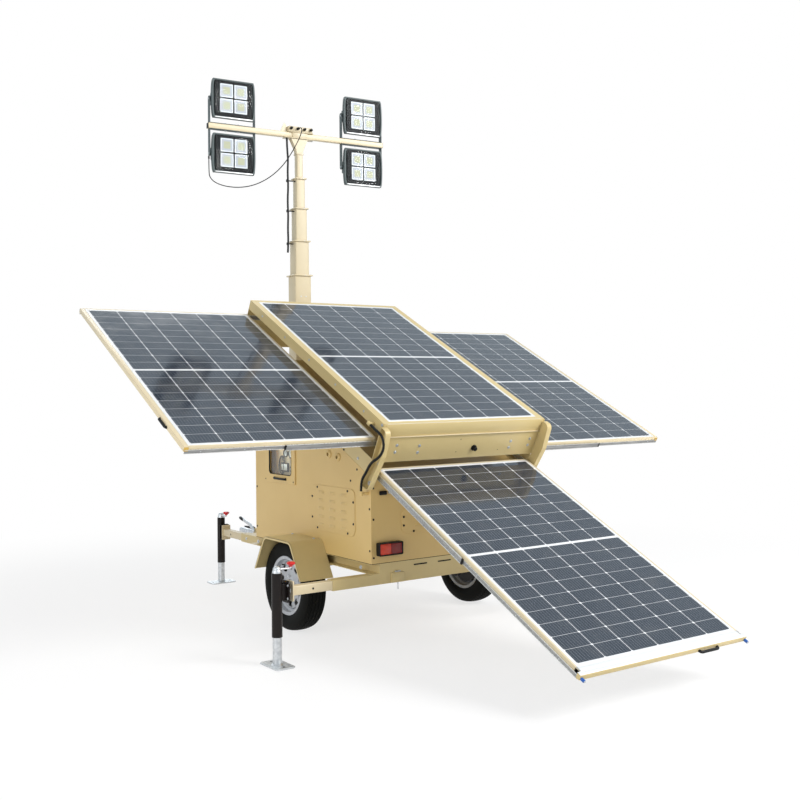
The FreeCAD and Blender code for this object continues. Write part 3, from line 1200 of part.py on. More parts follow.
for name, low_x, high_x, low_u, high_u in (
        ("a", grip_x - v.handle_wide / 2, grip_x - v.handle_wide / 2 + 10, out_u - v.handle_out, out_u),
        ("b", grip_x + v.handle_wide / 2 - 10, grip_x + v.handle_wide / 2, out_u - v.handle_out, out_u),
        ("c", grip_x - v.handle_wide / 2, grip_x + v.handle_wide / 2, out_u - v.handle_out,
         out_u - v.handle_out + 10)):
    rear_parts.append(box("rear_grip_" + name, (low_x, low_u, grip_n - 5), (high_x, high_u, grip_n + 5)))
keep("drawer_rear", in_tray("drawer_rear_set", [fuse("drawer_rear_body", rear_parts)]))
mids = []
mid_low = end_in + shift_u / 2
for side, sign in (("right", 1), ("left", -1)):
    a, b = sorted((sign * (half_side + v.slide_gap * 2 + v.slide_in), sign * slide_mid_far),
                  key=lambda s: s.number)
    mids.append(box("rear_slide_mid_" + side, (a, mid_low, slide_n - 17),
                    (b, mid_low + v.down_mid_long, slide_n + 17)))
keep("drawer_slides_rear", in_tray("slides_rear_set", mids))

# cords: points in millimetres round the mast's axis, or on the trailer for the conduit
head_z = top.number
mast_cable_points = (
    (-103, -16, head_z + 110), (-103, -16, head_z + 62), (-98, -14, head_z - 2),
    (-93, -12, head_z - 60), (-97, -10, head_z - 150), (-93, -12, head_z - 250), (-98, -8, head_z - 360),
    (-94, -10, head_z - 470), (-99, -12, head_z - 570), (-93, -6, head_z - 665), (-97, -4, head_z - 750))
mast_cable = cord("mast_cable_tube", mast_cable_points, 7.5)
flood_low_z = bar_mid_z.number - v.flood_z.number
lead_points = (
    (-713, 0, flood_low_z - 43), (-713, 0, flood_low_z - 120), (-708, 4, flood_low_z - 172),
    (-670, 10, flood_low_z - 205), (-608, 20, flood_low_z - 222), (-538, 26, flood_low_z - 228),
    (-465, 20, flood_low_z - 226), (-390, 4, flood_low_z - 212), (-320, -14, flood_low_z - 184),
    (-255, -32, flood_low_z - 144), (-195, -50, flood_low_z - 92), (-142, -66, flood_low_z - 30),
    (-98, -80, flood_low_z + 40), (-62, -100, flood_low_z + 112), (-30, -126, flood_low_z + 196),
    (-20, -100, flood_low_z + 244), (-20, -58, flood_low_z + 244))
lamp_lead = cord("lamp_lead_tube", lead_points, 3.5)
keep("head_cables", on_mast("head_cable_set", [mast_cable, lamp_lead]))
conduit_in_u = conduit_end_u + 60 * sine.number
conduit_in_n = conduit_end_n + 60 * cosine.number
conduit_points = tuple((conduit_x.number, along, deep) for along, deep in (
    (30, -45), (-40, -45), (-108, -48), (-146, -104), (-124, -170), (-66, -236), (-50, -310),
    (conduit_in_u, conduit_in_n), (conduit_end_u, conduit_end_n)))
keep("conduit", in_tray("conduit_set", [cord("conduit_tube", conduit_points, 8)]))

doc.recompute()
failed = [item.Name for item in doc.Objects if "Invalid" in item.State or "Error" in item.State]
if failed:
    raise RuntimeError("not recomputed: " + ", ".join(failed))
for name, item in pieces.items():
    if item.Shape.isNull() or not item.Shape.isValid():
        raise RuntimeError("bad shape: " + name)
os.makedirs("parts", exist_ok=True)
whole = FreeCAD.BoundBox()
for name, item in pieces.items():
    whole.add(item.Shape.BoundBox)
    item.Shape.exportStep("parts/%s.step" % name)
print("%d pieces, %s" % (len(pieces), whole))
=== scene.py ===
"""The looks of a mobile light tower: a trailer with a cabinet, a mast and pull-out solar modules."""

import logging
import math
from collections.abc import Callable, Sequence
from dataclasses import dataclass, field
from enum import Enum

import bmesh
import bpy
import numpy as np
from mathutils import Matrix


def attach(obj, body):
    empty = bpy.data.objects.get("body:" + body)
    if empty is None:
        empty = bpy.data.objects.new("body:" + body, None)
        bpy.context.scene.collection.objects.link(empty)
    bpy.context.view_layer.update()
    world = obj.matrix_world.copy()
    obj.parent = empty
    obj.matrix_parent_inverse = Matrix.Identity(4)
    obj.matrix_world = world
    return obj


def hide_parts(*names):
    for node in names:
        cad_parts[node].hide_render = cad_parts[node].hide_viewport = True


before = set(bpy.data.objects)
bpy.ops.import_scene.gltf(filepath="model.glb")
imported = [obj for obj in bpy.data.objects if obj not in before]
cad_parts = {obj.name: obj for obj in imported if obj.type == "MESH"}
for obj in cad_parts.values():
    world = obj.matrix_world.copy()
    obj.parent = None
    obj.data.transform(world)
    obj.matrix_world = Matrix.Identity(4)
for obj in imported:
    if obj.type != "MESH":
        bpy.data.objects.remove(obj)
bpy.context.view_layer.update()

log = logging.getLogger("light_tower")
Array = np.ndarray
Place = Callable[[Array], Array]
Point = tuple[float, float, float]


# shader maths


class Number:
    """A number in a node tree, with Python's own operators."""

    def __init__(self, tree: "Tree", socket: bpy.types.NodeSocket) -> None:
        """Keeps the tree and the socket that gives the number."""
        self.tree = tree
        self.socket = socket

    def maths(self, operation: str, *values: "Number | float") -> "Number":
        """Adds a Math node.

        Args:
            operation: the Math node's operation.
            values: its inputs.

        Returns:
            The node's result.
        """
        return self.tree.number("ShaderNodeMath", {"operation": operation}, dict(enumerate(values)))

    def __add__(self, other: "Number | float") -> "Number":
        """Sum."""
        return self.maths("ADD", self, other)

    def __sub__(self, other: "Number | float") -> "Number":
        """Difference."""
        return self.maths("SUBTRACT", self, other)

    def __mul__(self, other: "Number | float") -> "Number":
        """Product."""
        return self.maths("MULTIPLY", self, other)

    def __truediv__(self, other: "Number | float") -> "Number":
        """Quotient."""
        return self.maths("DIVIDE", self, other)

    def __radd__(self, other: float) -> "Number":
        """Sum, the other way round."""
        return self.maths("ADD", other, self)

    def __rsub__(self, other: float) -> "Number":
        """Difference, the other way round."""
        return self.maths("SUBTRACT", other, self)

    def __rmul__(self, other: float) -> "Number":
        """Product, the other way round."""
        return self.maths("MULTIPLY", other, self)

    def __abs__(self) -> "Number":
        """Size without sign."""
        return self.maths("ABSOLUTE", self)

    def __mod__(self, other: float) -> "Number":
        """What is left after whole steps."""
        return self.maths("FLOORED_MODULO", self, other)

    def under(self, other: "Number | float") -> "Number":
        """1 where this is below the other, and 0 elsewhere."""
        return self.maths("LESS_THAN", self, other)

    def over(self, other: "Number | float") -> "Number":
        """1 where this is above the other, and 0 elsewhere."""
        return self.maths("GREATER_THAN", self, other)

    def higher(self, other: "Number | float") -> "Number":
        """The larger of two."""
        return self.maths("MAXIMUM", self, other)

    def between(self, low: float, high: float, to_low: float = 0.0, to_high: float = 1.0) -> "Number":
        """Smooth step from one value to another as this goes from low to high."""
        settings = {"interpolation_type": "SMOOTHSTEP"}
        values = {"Value": self, "From Min": low, "From Max": high, "To Min": to_low, "To Max": to_high}
        return self.tree.number("ShaderNodeMapRange", settings, values)


class Tree:
    """The nodes of one material or world."""

    def __init__(self, name: str, world: bool = False) -> None:
        """Makes an empty material or world with its output."""
        self.material = bpy.data.worlds.new(name) if world else bpy.data.materials.new(name)
        self.material.use_nodes = True
        self.nodes, self.links = self.material.node_tree.nodes, self.material.node_tree.links
        self.nodes.clear()
        self.output = self.node("ShaderNodeOutputWorld" if world else "ShaderNodeOutputMaterial", {}, {})

    def node(self, kind: str, settings: dict, values: dict) -> bpy.types.Node:
        """Adds any node.

        Args:
            kind: the node's type.
            settings: its properties, set first; "stops" fills a ramp.
            values: what each input gets, a number, colour, Number or socket.

        Returns:
            The node.
        """
        made = self.nodes.new(kind)
        for key, value in settings.items():
            if key == "stops":
                ramp = made.color_ramp
                while len(ramp.elements) < len(value):
                    ramp.elements.new(0.5)
                for element, (spot, colour) in zip(ramp.elements, value):
                    element.position = spot
                    element.color = (*colour, 1.0)
            else:
                setattr(made, key, value)
        for key, value in values.items():
            target = made.inputs[key]
            if isinstance(value, Number):
                self.links.new(value.socket, target)
            elif isinstance(value, bpy.types.NodeSocket):
                self.links.new(value, target)
            elif isinstance(value, tuple) and len(value) == 3 and target.type == "RGBA":
                target.default_value = (*value, 1.0)
            else:
                target.default_value = value
        return made

    def number(self, kind: str, settings: dict, values: dict, output: int | str = 0) -> Number:
        """Adds a node and wraps one of its outputs as a number."""
        return Number(self, self.node(kind, settings, values).outputs[output])

    def place(self) -> bpy.types.NodeSocket:
        """Object coordinates, in metres."""
        return self.node("ShaderNodeTexCoord", {}, {}).outputs["Object"]

    def axes(self) -> tuple[Number, Number, Number]:
        """The three Object coordinates apart."""
        split = self.node("ShaderNodeSeparateXYZ", {}, {0: self.place()})
        return tuple(Number(self, out) for out in split.outputs)

    def noise(self, scale: float, detail: float = 3.0, rough: float = 0.5,
              stretch: Point = (1, 1, 1)) -> Number:
        """Cloudy noise from 0 to 1 in Object coordinates."""
        where = self.node("ShaderNodeMapping", {}, {"Vector": self.place(), "Scale": stretch}).outputs[0]
        values = {"Vector": where, "Scale": scale, "Detail": detail, "Roughness": rough}
        return self.number("ShaderNodeTexNoise", {}, values, "Fac")

    def mix(self, share: Number | float, first: "tuple | bpy.types.NodeSocket",
            second: "tuple | bpy.types.NodeSocket") -> bpy.types.NodeSocket:
        """A colour between two others."""
        made = self.node("ShaderNodeMix", {"data_type": "RGBA"}, {0: share, 6: first, 7: second})
        return made.outputs[2]

    def bump(self, height: Number, strength: float, distance: float) -> bpy.types.NodeSocket:
        """A normal from a height."""
        values = {"Strength": strength, "Distance": distance, "Height": height}
        return self.node("ShaderNodeBump", {}, values).outputs[0]

    def end(self, shader: bpy.types.Node) -> bpy.types.Material:
        """Ends the tree in a shader."""
        self.links.new(shader.outputs[0], self.output.inputs[0])
        return self.material

    def share(self, amount: Number, first: bpy.types.Node, second: bpy.types.Node) -> bpy.types.Node:
        """Two shaders mixed."""
        return self.node("ShaderNodeMixShader", {}, {0: amount, 1: first.outputs[0], 2: second.outputs[0]})

    def principled(self, **values: object) -> bpy.types.Material:
        """Ends the material in a principled shader."""
        named = {key.replace("_", " "): value for key, value in values.items()}
        return self.end(self.node("ShaderNodeBsdfPrincipled", {}, named))


class Finish:
    """A finish that is made once and then shared."""

    made: dict["Finish", bpy.types.Material] = {}

    def build(self) -> bpy.types.Material:
        """The finish's material, made new."""
        raise NotImplementedError

    def material(self) -> bpy.types.Material:
        """The finish's material."""
        if self not in Finish.made:
            Finish.made[self] = self.build()
        return Finish.made[self]


@dataclass(frozen=True)
class Paint(Finish):
    """Sprayed paint on sheet steel, with slight ripple, fading, and road dust near the ground."""

    name: str
    colour: Point
    fade: Point
    rough: float = 0.36
    dust: float = 0.1
    ripple: float = 0.1
    shine: float = 0.5

    def build(self) -> bpy.types.Material:
        """Paint whose tone drifts in broad clouds and darkens with dust below knee height."""
        tree = Tree(self.name)
        _, _, height = tree.axes()
        cloud = tree.noise(2.2, 4.0)
        speck = tree.noise(26.0, 4.0, 0.7)
        grime = height.between(0.75, 0.1) * (0.35 + speck.between(0.4, 0.75) * 0.65) * self.dust
        tone = tree.mix(cloud.between(0.3, 0.72), self.colour, self.fade)
        dusty = tree.mix(grime, tone, (0.2, 0.15, 0.095))
        fine = tree.noise(420.0, 2.0)
        wave = tree.noise(7.0, 2.0)
        gloss = self.rough + (cloud - 0.5) * 0.1 + grime * 0.35 + (fine - 0.5) * 0.06
        relief = tree.bump(fine * 0.25 + wave, self.ripple, 0.004)
        return tree.principled(Base_Color=dusty, Roughness=gloss, Normal=relief, Specular_IOR_Level=self.shine)


@dataclass(frozen=True)
class Steel(Finish):
    """Bare or zinc-coated steel with spangle, or brushed along an axis."""

    name: str
    colour: Point
    dark: Point
    rough: float = 0.36
    grain: float = 55.0
    stretch: Point = (1.0, 1.0, 1.0)
    metal: float = 0.9

    def build(self) -> bpy.types.Material:
        """Metal whose patches differ in tone and gloss, with fine scratches."""
        tree = Tree(self.name)
        where = tree.node("ShaderNodeMapping", {}, {"Vector": tree.place(), "Scale": self.stretch}).outputs[0]
        cell = tree.node("ShaderNodeTexVoronoi", {}, {"Vector": where, "Scale": self.grain})
        patch = Number(tree, cell.outputs["Distance"]).between(0.1, 0.8)
        scratch = tree.noise(300.0, 3.0, 0.6, (1.0, 0.08, 1.0))
        tone = tree.mix(patch * 0.6 + scratch * 0.25, self.colour, self.dark)
        gloss = self.rough + patch * 0.14 + (scratch - 0.5) * 0.16
        relief = tree.bump(scratch + patch * 0.4, 0.1, 0.0006)
        return tree.principled(Base_Color=tone, Metallic=self.metal, Roughness=gloss, Normal=relief)


@dataclass(frozen=True)
class Moulded(Finish):
    """Plastic or rubber with a fine moulded grain."""

    name: str
    colour: Point
    worn: Point
    rough: float = 0.5
    grain: float = 700.0
    relief: float = 0.18
    shine: float = 0.5

    def build(self) -> bpy.types.Material:
        """A grainy surface, a little paler where it is worn."""
        tree = Tree(self.name)
        grain = tree.noise(self.grain, 2.0, 0.7)
        worn = tree.noise(18.0, 4.0, 0.6).between(0.5, 0.8)
        tone = tree.mix(worn * 0.5, self.colour, self.worn)
        gloss = self.rough + (grain - 0.5) * 0.16 + worn * 0.08
        relief = tree.bump(grain, self.relief, 0.0008)
        return tree.principled(Base_Color=tone, Roughness=gloss, Normal=relief, Specular_IOR_Level=self.shine)


@dataclass(frozen=True)
class SolarCells(Finish):
    """Half cells under glass: columns with cut corners, rows, busbars and a pale middle line."""

    name: str = "solar_cells"
    columns: int = 6
    rows: int = 18
    wide: float = 1.098
    long: float = 1.686
    middle: float = 0.016
    gap: float = 0.0032
    bars: int = 10

    def build(self) -> bpy.types.Material:
        """Reads the sheet's UV map in metres and draws every cell's edges from its own middle."""
        tree = Tree(self.name)
        uv = tree.node("ShaderNodeUVMap", {"uv_map": "sheet"}, {}).outputs[0]
        split = tree.node("ShaderNodeSeparateXYZ", {}, {0: uv})
        across, along = Number(tree, split.outputs[0]), Number(tree, split.outputs[1])
        pitch_x = self.wide / self.columns
        half_long = (self.long - self.middle) / 2
        pitch_y = half_long * 2 / self.rows
        from_middle = abs(along)
        row = from_middle - self.middle / 2
        off_x = abs((across + self.wide / 2) % pitch_x - pitch_x / 2)
        off_y = abs(row % pitch_y - pitch_y / 2)
        edge_x = pitch_x / 2 - off_x
        edge_y = pitch_y / 2 - off_y
        pale = edge_x.under(self.gap / 2).higher(edge_y.under(self.gap * 0.3) * 0.75)
        pale = pale.higher((edge_x + edge_y).under(0.0085))
        pale = pale.higher(row.under(0.0)).higher(abs(across).over(self.wide / 2))
        pale = pale.higher(from_middle.over(self.long / 2))
        bar_pitch = pitch_x / self.bars
        bar = abs((across + self.wide / 2) % bar_pitch - bar_pitch / 2).under(0.0006)
        finger = abs(along % 0.0045 - 0.00225).under(0.0005)
        which = tree.node("ShaderNodeTexVoronoi", {"feature": "F1"}, {"Vector": uv, "Scale": 5.4})
        shade = Number(tree, which.outputs["Distance"]).between(0.0, 0.9)
        cell = tree.mix(shade, (0.01, 0.018, 0.034), (0.017, 0.026, 0.043))
        wired = tree.mix(bar * 0.42 + finger * 0.1, cell, (0.42, 0.43, 0.44))
        tone = tree.mix(pale, wired, (0.8, 0.81, 0.82))
        dust = tree.noise(9.0, 5.0, 0.6)
        soiled = tree.mix(dust.between(0.45, 0.85) * 0.08, tone, (0.34, 0.31, 0.26))
        gloss = dust.between(0.3, 0.8, 0.07, 0.15)
        return tree.principled(Base_Color=soiled, Roughness=gloss, IOR=1.5)


@dataclass(frozen=True)
class Lens(Finish):
    """Moulded lamp lens with fine ribs both ways."""

    name: str
    colour: Point
    deep: Point
    pitch: float = 0.006

    def build(self) -> bpy.types.Material:
        """Colour that deepens between ribs, under a clear coat."""
        tree = Tree(self.name)
        x, _, z = tree.axes()
        rib = abs(x % self.pitch - self.pitch / 2) + abs(z % self.pitch - self.pitch / 2)
        tone = tree.mix(rib.between(0.0, self.pitch), self.colour, self.deep)
        relief = tree.bump(rib, 0.5, 0.6)
        return tree.principled(Base_Color=tone, Roughness=rib.between(0.0, self.pitch, 0.12, 0.25),
                               Normal=relief, Coat_Weight=0.1)


@dataclass(frozen=True)
class ClearPane(Finish):
    """Clear glass or sheet plastic, seen through and glossy."""

    name: str
    tint: Point = (0.93, 0.96, 0.95)
    shine: float = 1.0

    def build(self) -> bpy.types.Material:
        """Gloss over a see-through sheet, shared by angle."""
        tree = Tree(self.name)
        clear = tree.node("ShaderNodeBsdfTransparent", {}, {"Color": self.tint})
        gloss = tree.node("ShaderNodeBsdfGlossy", {}, {"Color": (1.0, 1.0, 1.0), "Roughness": 0.03})
        edge = tree.number("ShaderNodeLayerWeight", {}, {"Blend": 0.5}, "Facing")
        angle = edge * edge * edge * edge * edge * 0.96 + 0.04
        return tree.end(tree.share(angle * self.shine, clear, gloss))


SAND = Paint("sand_paint", (0.64, 0.508, 0.24), (0.605, 0.474, 0.218))
# painted shade: a deeper, more saturated copy of the sand paint for the cabinet walls that lie in the tray's
# shade
WALL_SAND_SHADED = Paint("sand_paint_wall_shaded", (0.675, 0.478, 0.185), (0.64, 0.446, 0.168))
# painted light: a paler copy of the sand paint for the brightly lit mast
MAST_SAND_LIT = Paint("sand_paint_mast_lit", (0.64, 0.55, 0.37), (0.61, 0.515, 0.335))
# painted light: a paler copy of the sand paint for lit tops, drawer members, the crossbar and the outrigger
# beams
SAND_LIT = Paint("sand_paint_lit", (0.69, 0.585, 0.385), (0.65, 0.545, 0.35))
BLACK = Paint("black_paint", (0.008, 0.006, 0.006), (0.012, 0.009, 0.008), 0.34, 0.04, shine=0.18)
HOUSING = Paint("lamp_housing_paint", (0.082, 0.105, 0.105), (0.066, 0.086, 0.088), 0.45, 0.0, shine=0.3)
SILVER = Paint("wheel_silver_paint", (0.46, 0.48, 0.51), (0.38, 0.4, 0.43), 0.28, 0.1)
RED = Moulded("red_grip", (0.62, 0.006, 0.01), (0.5, 0.01, 0.012), 0.28)
ZINC = Steel("zinc_plate", (0.7, 0.71, 0.72), (0.5, 0.51, 0.52))
BRIGHT = Steel("bright_steel", (0.78, 0.78, 0.77), (0.62, 0.61, 0.58), 0.22, 90.0, (1.0, 0.1, 1.0))
FRAME = Steel("module_frame", (0.86, 0.86, 0.85), (0.78, 0.78, 0.77), 0.34, 120.0, (1.0, 0.1, 1.0), 0.35)
RAIL = Steel("slide_rail", (0.42, 0.42, 0.41), (0.25, 0.25, 0.25), 0.3, 100.0, (0.1, 1.0, 1.0))
BRASS = Steel("brass_cap", (0.8, 0.55, 0.14), (0.62, 0.4, 0.1), 0.28)
TYRE = Moulded("tyre_rubber", (0.005, 0.005, 0.004), (0.01, 0.009, 0.008), 0.66, shine=0.1)
PLASTIC = Moulded("black_plastic", (0.006, 0.006, 0.006), (0.011, 0.011, 0.011), 0.42, shine=0.22)
SHADOW = Moulded("seam_shadow", (0.06, 0.04, 0.015), (0.05, 0.035, 0.012), 0.8, shine=0.1)
CABLE = Moulded("cable_jacket", (0.008, 0.008, 0.009), (0.016, 0.016, 0.016), 0.5, 500.0, shine=0.3)
BLUE = Moulded("blue_plunger", (0.01, 0.1, 0.42), (0.02, 0.12, 0.4), 0.35)
BACKSHEET = Moulded("module_backsheet", (0.74, 0.75, 0.75), (0.68, 0.68, 0.66), 0.45, 300.0, 0.05)
CELLS = SolarCells()
REFLECTOR = Moulded("lamp_reflector", (0.8, 0.82, 0.86), (0.74, 0.76, 0.81), 0.35, 300.0, 0.03, 0.2)
# painted shade: a greyer copy of the reflector's white for the sloped walls of each well
REFLECTOR_SHADED = Moulded("lamp_reflector_side_shaded", (0.5, 0.52, 0.58), (0.46, 0.48, 0.54), 0.35, 300.0, 0.03, 0.2)
EMITTER = Moulded("lamp_emitter", (0.52, 0.52, 0.36), (0.48, 0.48, 0.34), 0.45, 900.0, 0.25, 0.2)
BEZEL = Moulded("lamp_black_glass", (0.003, 0.003, 0.004), (0.005, 0.005, 0.006), 0.35, 200.0, 0.01, 0.1)
DIAL = Moulded("dial_face", (0.8, 0.8, 0.78), (0.74, 0.74, 0.71), 0.35, 300.0, 0.02)
# the board's own beige, brightened to make up for the dim light inside the cabinet: partly painted light
BOARD_LIT = Paint("board_paint_lit", (0.74, 0.6, 0.42), (0.68, 0.55, 0.38), 0.45, 0.0)
AMBER_LENS = Lens("lens_amber_red", (0.8, 0.05, 0.008), (0.45, 0.02, 0.005))
RED_LENS = Lens("lens_dark_red", (0.26, 0.002, 0.002), (0.1, 0.001, 0.001))
PANE = ClearPane("window_pane")
LAMP_PANE = ClearPane("lamp_pane", (0.97, 0.98, 0.98), 0.1)


# surfaces


@dataclass
class Surface:
    """Points, faces and, where a pattern follows the surface, a UV pair for each point."""

    points: Array
    faces: list[list[int]]
    uv: Array | None = None

    def moved(self, place: Place) -> "Surface":
        """The same surface with its points placed anew."""
        return Surface(place(self.points), self.faces, self.uv)


def grid_faces(rows: int, columns: int, wrap_rows: bool = False, wrap_columns: bool = True) -> Array:
    """Quads between neighbouring rows and columns of a grid of points.

    Args:
        rows: how many rows of points.
        columns: how many points in a row.
        wrap_rows: joins the last row to the first.
        wrap_columns: joins the last column to the first.

    Returns:
        Four indices for each quad.
    """
    i = np.arange(rows if wrap_rows else rows - 1)[:, None]
    j = np.arange(columns if wrap_columns else columns - 1)[None, :]
    a = i * columns + j
    b = i * columns + (j + 1) % columns
    c = ((i + 1) % rows) * columns + (j + 1) % columns
    d = ((i + 1) % rows) * columns + j
    return np.stack([a, b, c, d], -1).reshape(-1, 4)


def loft(loops: Array, caps: bool = True, ring: bool = False) -> Surface:
    """A skin over closed loops, each point joined to the same point of the next loop.

    Args:
        loops: rows of loop points, rows by columns by three.
        caps: closes both ends with one face each.
        ring: joins the last loop to the first in place of caps.

    Returns:
        The surface.
    """
    rows, columns = loops.shape[:2]
    faces = grid_faces(rows, columns, ring).tolist()
    if caps and not ring:
        faces.append(list(range(columns))[::-1])
        faces.append(list(range((rows - 1) * columns, rows * columns)))
    return Surface(loops.reshape(-1, 3), faces)


def spread(a: Array, b: Array, c: Array, axis: int) -> Array:
    """Sets two plane coordinates and one along an axis (0, 1 or 2) into x, y, z columns."""
    parts = [a, b]
    parts.insert(axis, c)
    return np.stack(np.broadcast_arrays(*parts), -1).astype(float)


def oblong(low: Sequence[float], high: Sequence[float], radius: float, steps: int = 3) -> Array:
    """A rectangle's loop with quarter circles at its corners: corner centre plus radius times the direction."""
    radius = max(min(radius, (high[0] - low[0]) / 2 - 1e-6, (high[1] - low[1]) / 2 - 1e-6), 1e-6)
    angle = (np.arange(4)[:, None] * 90 + np.linspace(0, 90, steps + 1)[None, :]) * math.pi / 180
    cx = np.array([high[0] - radius, low[0] + radius, low[0] + radius, high[0] - radius])[:, None]
    cy = np.array([high[1] - radius, high[1] - radius, low[1] + radius, low[1] + radius])[:, None]
    return np.stack([cx + radius * np.cos(angle), cy + radius * np.sin(angle)], -1).reshape(-1, 2)


def block(low: Point, high: Point, soft: float = 0.0015, steps: int = 2, along: int | None = None,
          corner: float | None = None) -> Surface:
    """A block with rounded edges: rounded rectangles along its longest way, drawn in at both ends.

    Args:
        low: lowest corner.
        high: highest corner.
        soft: radius of the edges.
        steps: facets round each edge.
        along: the way the loops follow.
        corner: radius of the section's corners where it differs.

    Returns:
        The surface.
    """
    size = np.subtract(high, low)
    axis = int(np.argmax(size)) if along is None else along
    others = [i for i in range(3) if i != axis]
    soft = float(min(soft, size.min() * 0.45))
    section = soft if corner is None else corner
    turn = np.linspace(0, math.pi / 2, steps + 1)
    draw_in = soft * (1 - np.sin(turn))
    ahead = soft * (1 - np.cos(turn))
    rows = []
    for inset, lift in list(zip(draw_in, ahead)) + list(zip(draw_in[::-1], size[axis] - ahead[::-1])):
        loop = oblong([low[i] + inset for i in others], [high[i] - inset for i in others],
                      section - inset if corner is None else corner - inset, max(steps, 3 if corner else steps))
        rows.append(spread(loop[:, 0], loop[:, 1], np.array(low[axis] + lift), axis))
    return loft(np.array(rows))


def square_tube(low: Point, high: Point, wall: float, along: int, corner: float = 0.004) -> Surface:
    """A square tube open at both ends: outer loop out, inner loop back, with the lips eased."""
    others = [i for i in range(3) if i != along]
    ease = wall * 0.25
    rows = []
    for inset, spot in ((ease, low[along]), (0.0, low[along] + ease), (0.0, high[along] - ease),
                        (ease, high[along]), (wall, high[along]), (wall, low[along])):
        loop = oblong([low[i] + inset for i in others], [high[i] - inset for i in others],
                                 max(corner - inset, 0.0008), 3)
        rows.append(spread(loop[:, 0], loop[:, 1], np.array(spot), along))
    return loft(np.array(rows), caps=False, ring=True)


def softened(outline: Array, radii: Sequence[float] | float, steps: int = 5) -> Array:
    """A closed outline whose corners are arcs that touch both sides.

    Args:
        outline: corner points in order.
        radii: one radius, or one for each corner.
        steps: facets of each arc.

    Returns:
        The outline's points.
    """
    outline = np.asarray(outline, float)
    sizes = np.broadcast_to(np.asarray(radii, float), (len(outline),))
    arcs = []
    for k, radius in enumerate(sizes):
        into = outline[k] - outline[k - 1]
        away = outline[(k + 1) % len(outline)] - outline[k]
        length_in, length_out = np.linalg.norm(into), np.linalg.norm(away)
        into, away = into / length_in, away / length_out
        turn = math.acos(float(np.clip(into @ away, -1, 1)))
        if radius <= 0 or turn < 1e-3:
            arcs.append(outline[k][None, :])
            continue
        reach = min(radius * math.tan(turn / 2), 0.49 * length_in, 0.49 * length_out)
        radius = reach / math.tan(turn / 2)
        side = 1.0 if into[0] * away[1] - into[1] * away[0] > 0 else -1.0
        normal = np.array([-into[1], into[0]]) * side
        centre = outline[k] - into * reach + normal * radius
        angle = np.linspace(0, turn, steps + 1)[:, None]
        arcs.append(centre - normal * radius * np.cos(angle) + into * radius * np.sin(angle))
    return np.concatenate(arcs)


def inset(outline: Array, by: float) -> Array:
    """An outline moved inwards along the mean normal of each point's two sides."""
    following = np.roll(outline, -1, 0)
    before, after = outline - np.roll(outline, 1, 0), following - outline
    area = float((outline[:, 0] * following[:, 1] - following[:, 0] * outline[:, 1]).sum())
    before = before / np.maximum(np.linalg.norm(before, axis=1, keepdims=True), 1e-9)
    after = after / np.maximum(np.linalg.norm(after, axis=1, keepdims=True), 1e-9)
    middle = before + after
    middle = middle / np.maximum(np.linalg.norm(middle, axis=1, keepdims=True), 1e-9)
    normal = np.stack([-middle[:, 1], middle[:, 0]], -1) * (1.0 if area > 0 else -1.0)
    lean = np.clip((middle * after).sum(1, keepdims=True), 0.5, 1.0)
    return outline + normal * by / lean


def slab(outline: Array, start: float, thick: float, axis: int, soft: float = 0.001) -> Surface:
    """A plate of any outline with eased edges: the outline drawn in, full, full and drawn in again.

    Args:
        outline: points in the two other axes' order.
        start: where its first face lies.
        thick: its thickness along the axis.
        axis: 0, 1 or 2.
        soft: how far the edges are eased.

    Returns:
        The surface.
    """
    soft = min(soft, thick * 0.4)
    small = inset(outline, soft)
    rows = [spread(o[:, 0], o[:, 1], np.array(start + s), axis)
            for o, s in ((small, 0.0), (outline, soft), (outline, thick - soft), (small, thick))]
    return loft(np.array(rows))


def framed(outer: Array, inner: Array, start: float, thick: float, axis: int, soft: float = 0.0008) -> Surface:
    """A plate with one hole: outer edge out and the hole's edge back, as one ring of two equal loops."""
    rows = [spread(o[:, 0], o[:, 1], np.array(start + s), axis) for o, s in (
        (inset(outer, soft), 0.0), (outer, soft), (outer, thick - soft), (inset(outer, soft), thick),
        (inset(inner, -soft), thick), (inner, thick - soft), (inner, soft), (inset(inner, -soft), 0.0))]
    return loft(np.array(rows), caps=False, ring=True)


def lathe(profile: Sequence[Sequence[float]], centre: Point, axis: int, steps: int = 48,
          closed: bool = True) -> Surface:
    """A turned surface: each profile point (place along the axis, radius) goes round the axis.

    Args:
        profile: points of the half section.
        centre: a point on the axis.
        axis: 0, 1 or 2.
        steps: how many facets round.
        closed: joins the last profile point to the first.

    Returns:
        The surface.
    """
    half = np.asarray(profile, float)
    angle = np.linspace(0, 2 * math.pi, steps, endpoint=False)
    a = half[:, 1][:, None] * np.cos(angle)
    b = half[:, 1][:, None] * np.sin(angle)
    points = spread(a, b, half[:, 0][:, None], axis) + np.asarray(centre, float)
    return loft(points, caps=not closed, ring=closed)


def bar(start: Point, end: Point, radius: float, steps: int = 16, soft: float = 0.0008) -> Surface:
    """A round bar between two points with eased ends."""
    first, last = np.asarray(start, float), np.asarray(end, float)
    way = last - first
    length = float(np.linalg.norm(way))
    way = way / length
    side = np.cross(way, (0.0, 0.0, 1.0) if abs(way[2]) < 0.9 else (1.0, 0.0, 0.0))
    side = side / np.linalg.norm(side)
    other = np.cross(way, side)
    soft = min(soft, length * 0.4, radius * 0.4)
    angle = np.linspace(0, 2 * math.pi, steps, endpoint=False)
    round_it = side * np.cos(angle)[:, None] + other * np.sin(angle)[:, None]
    rows = [first + way * s + round_it * r
            for s, r in ((0, radius - soft), (soft, radius), (length - soft, radius), (length, radius - soft))]
    return loft(np.array(rows))


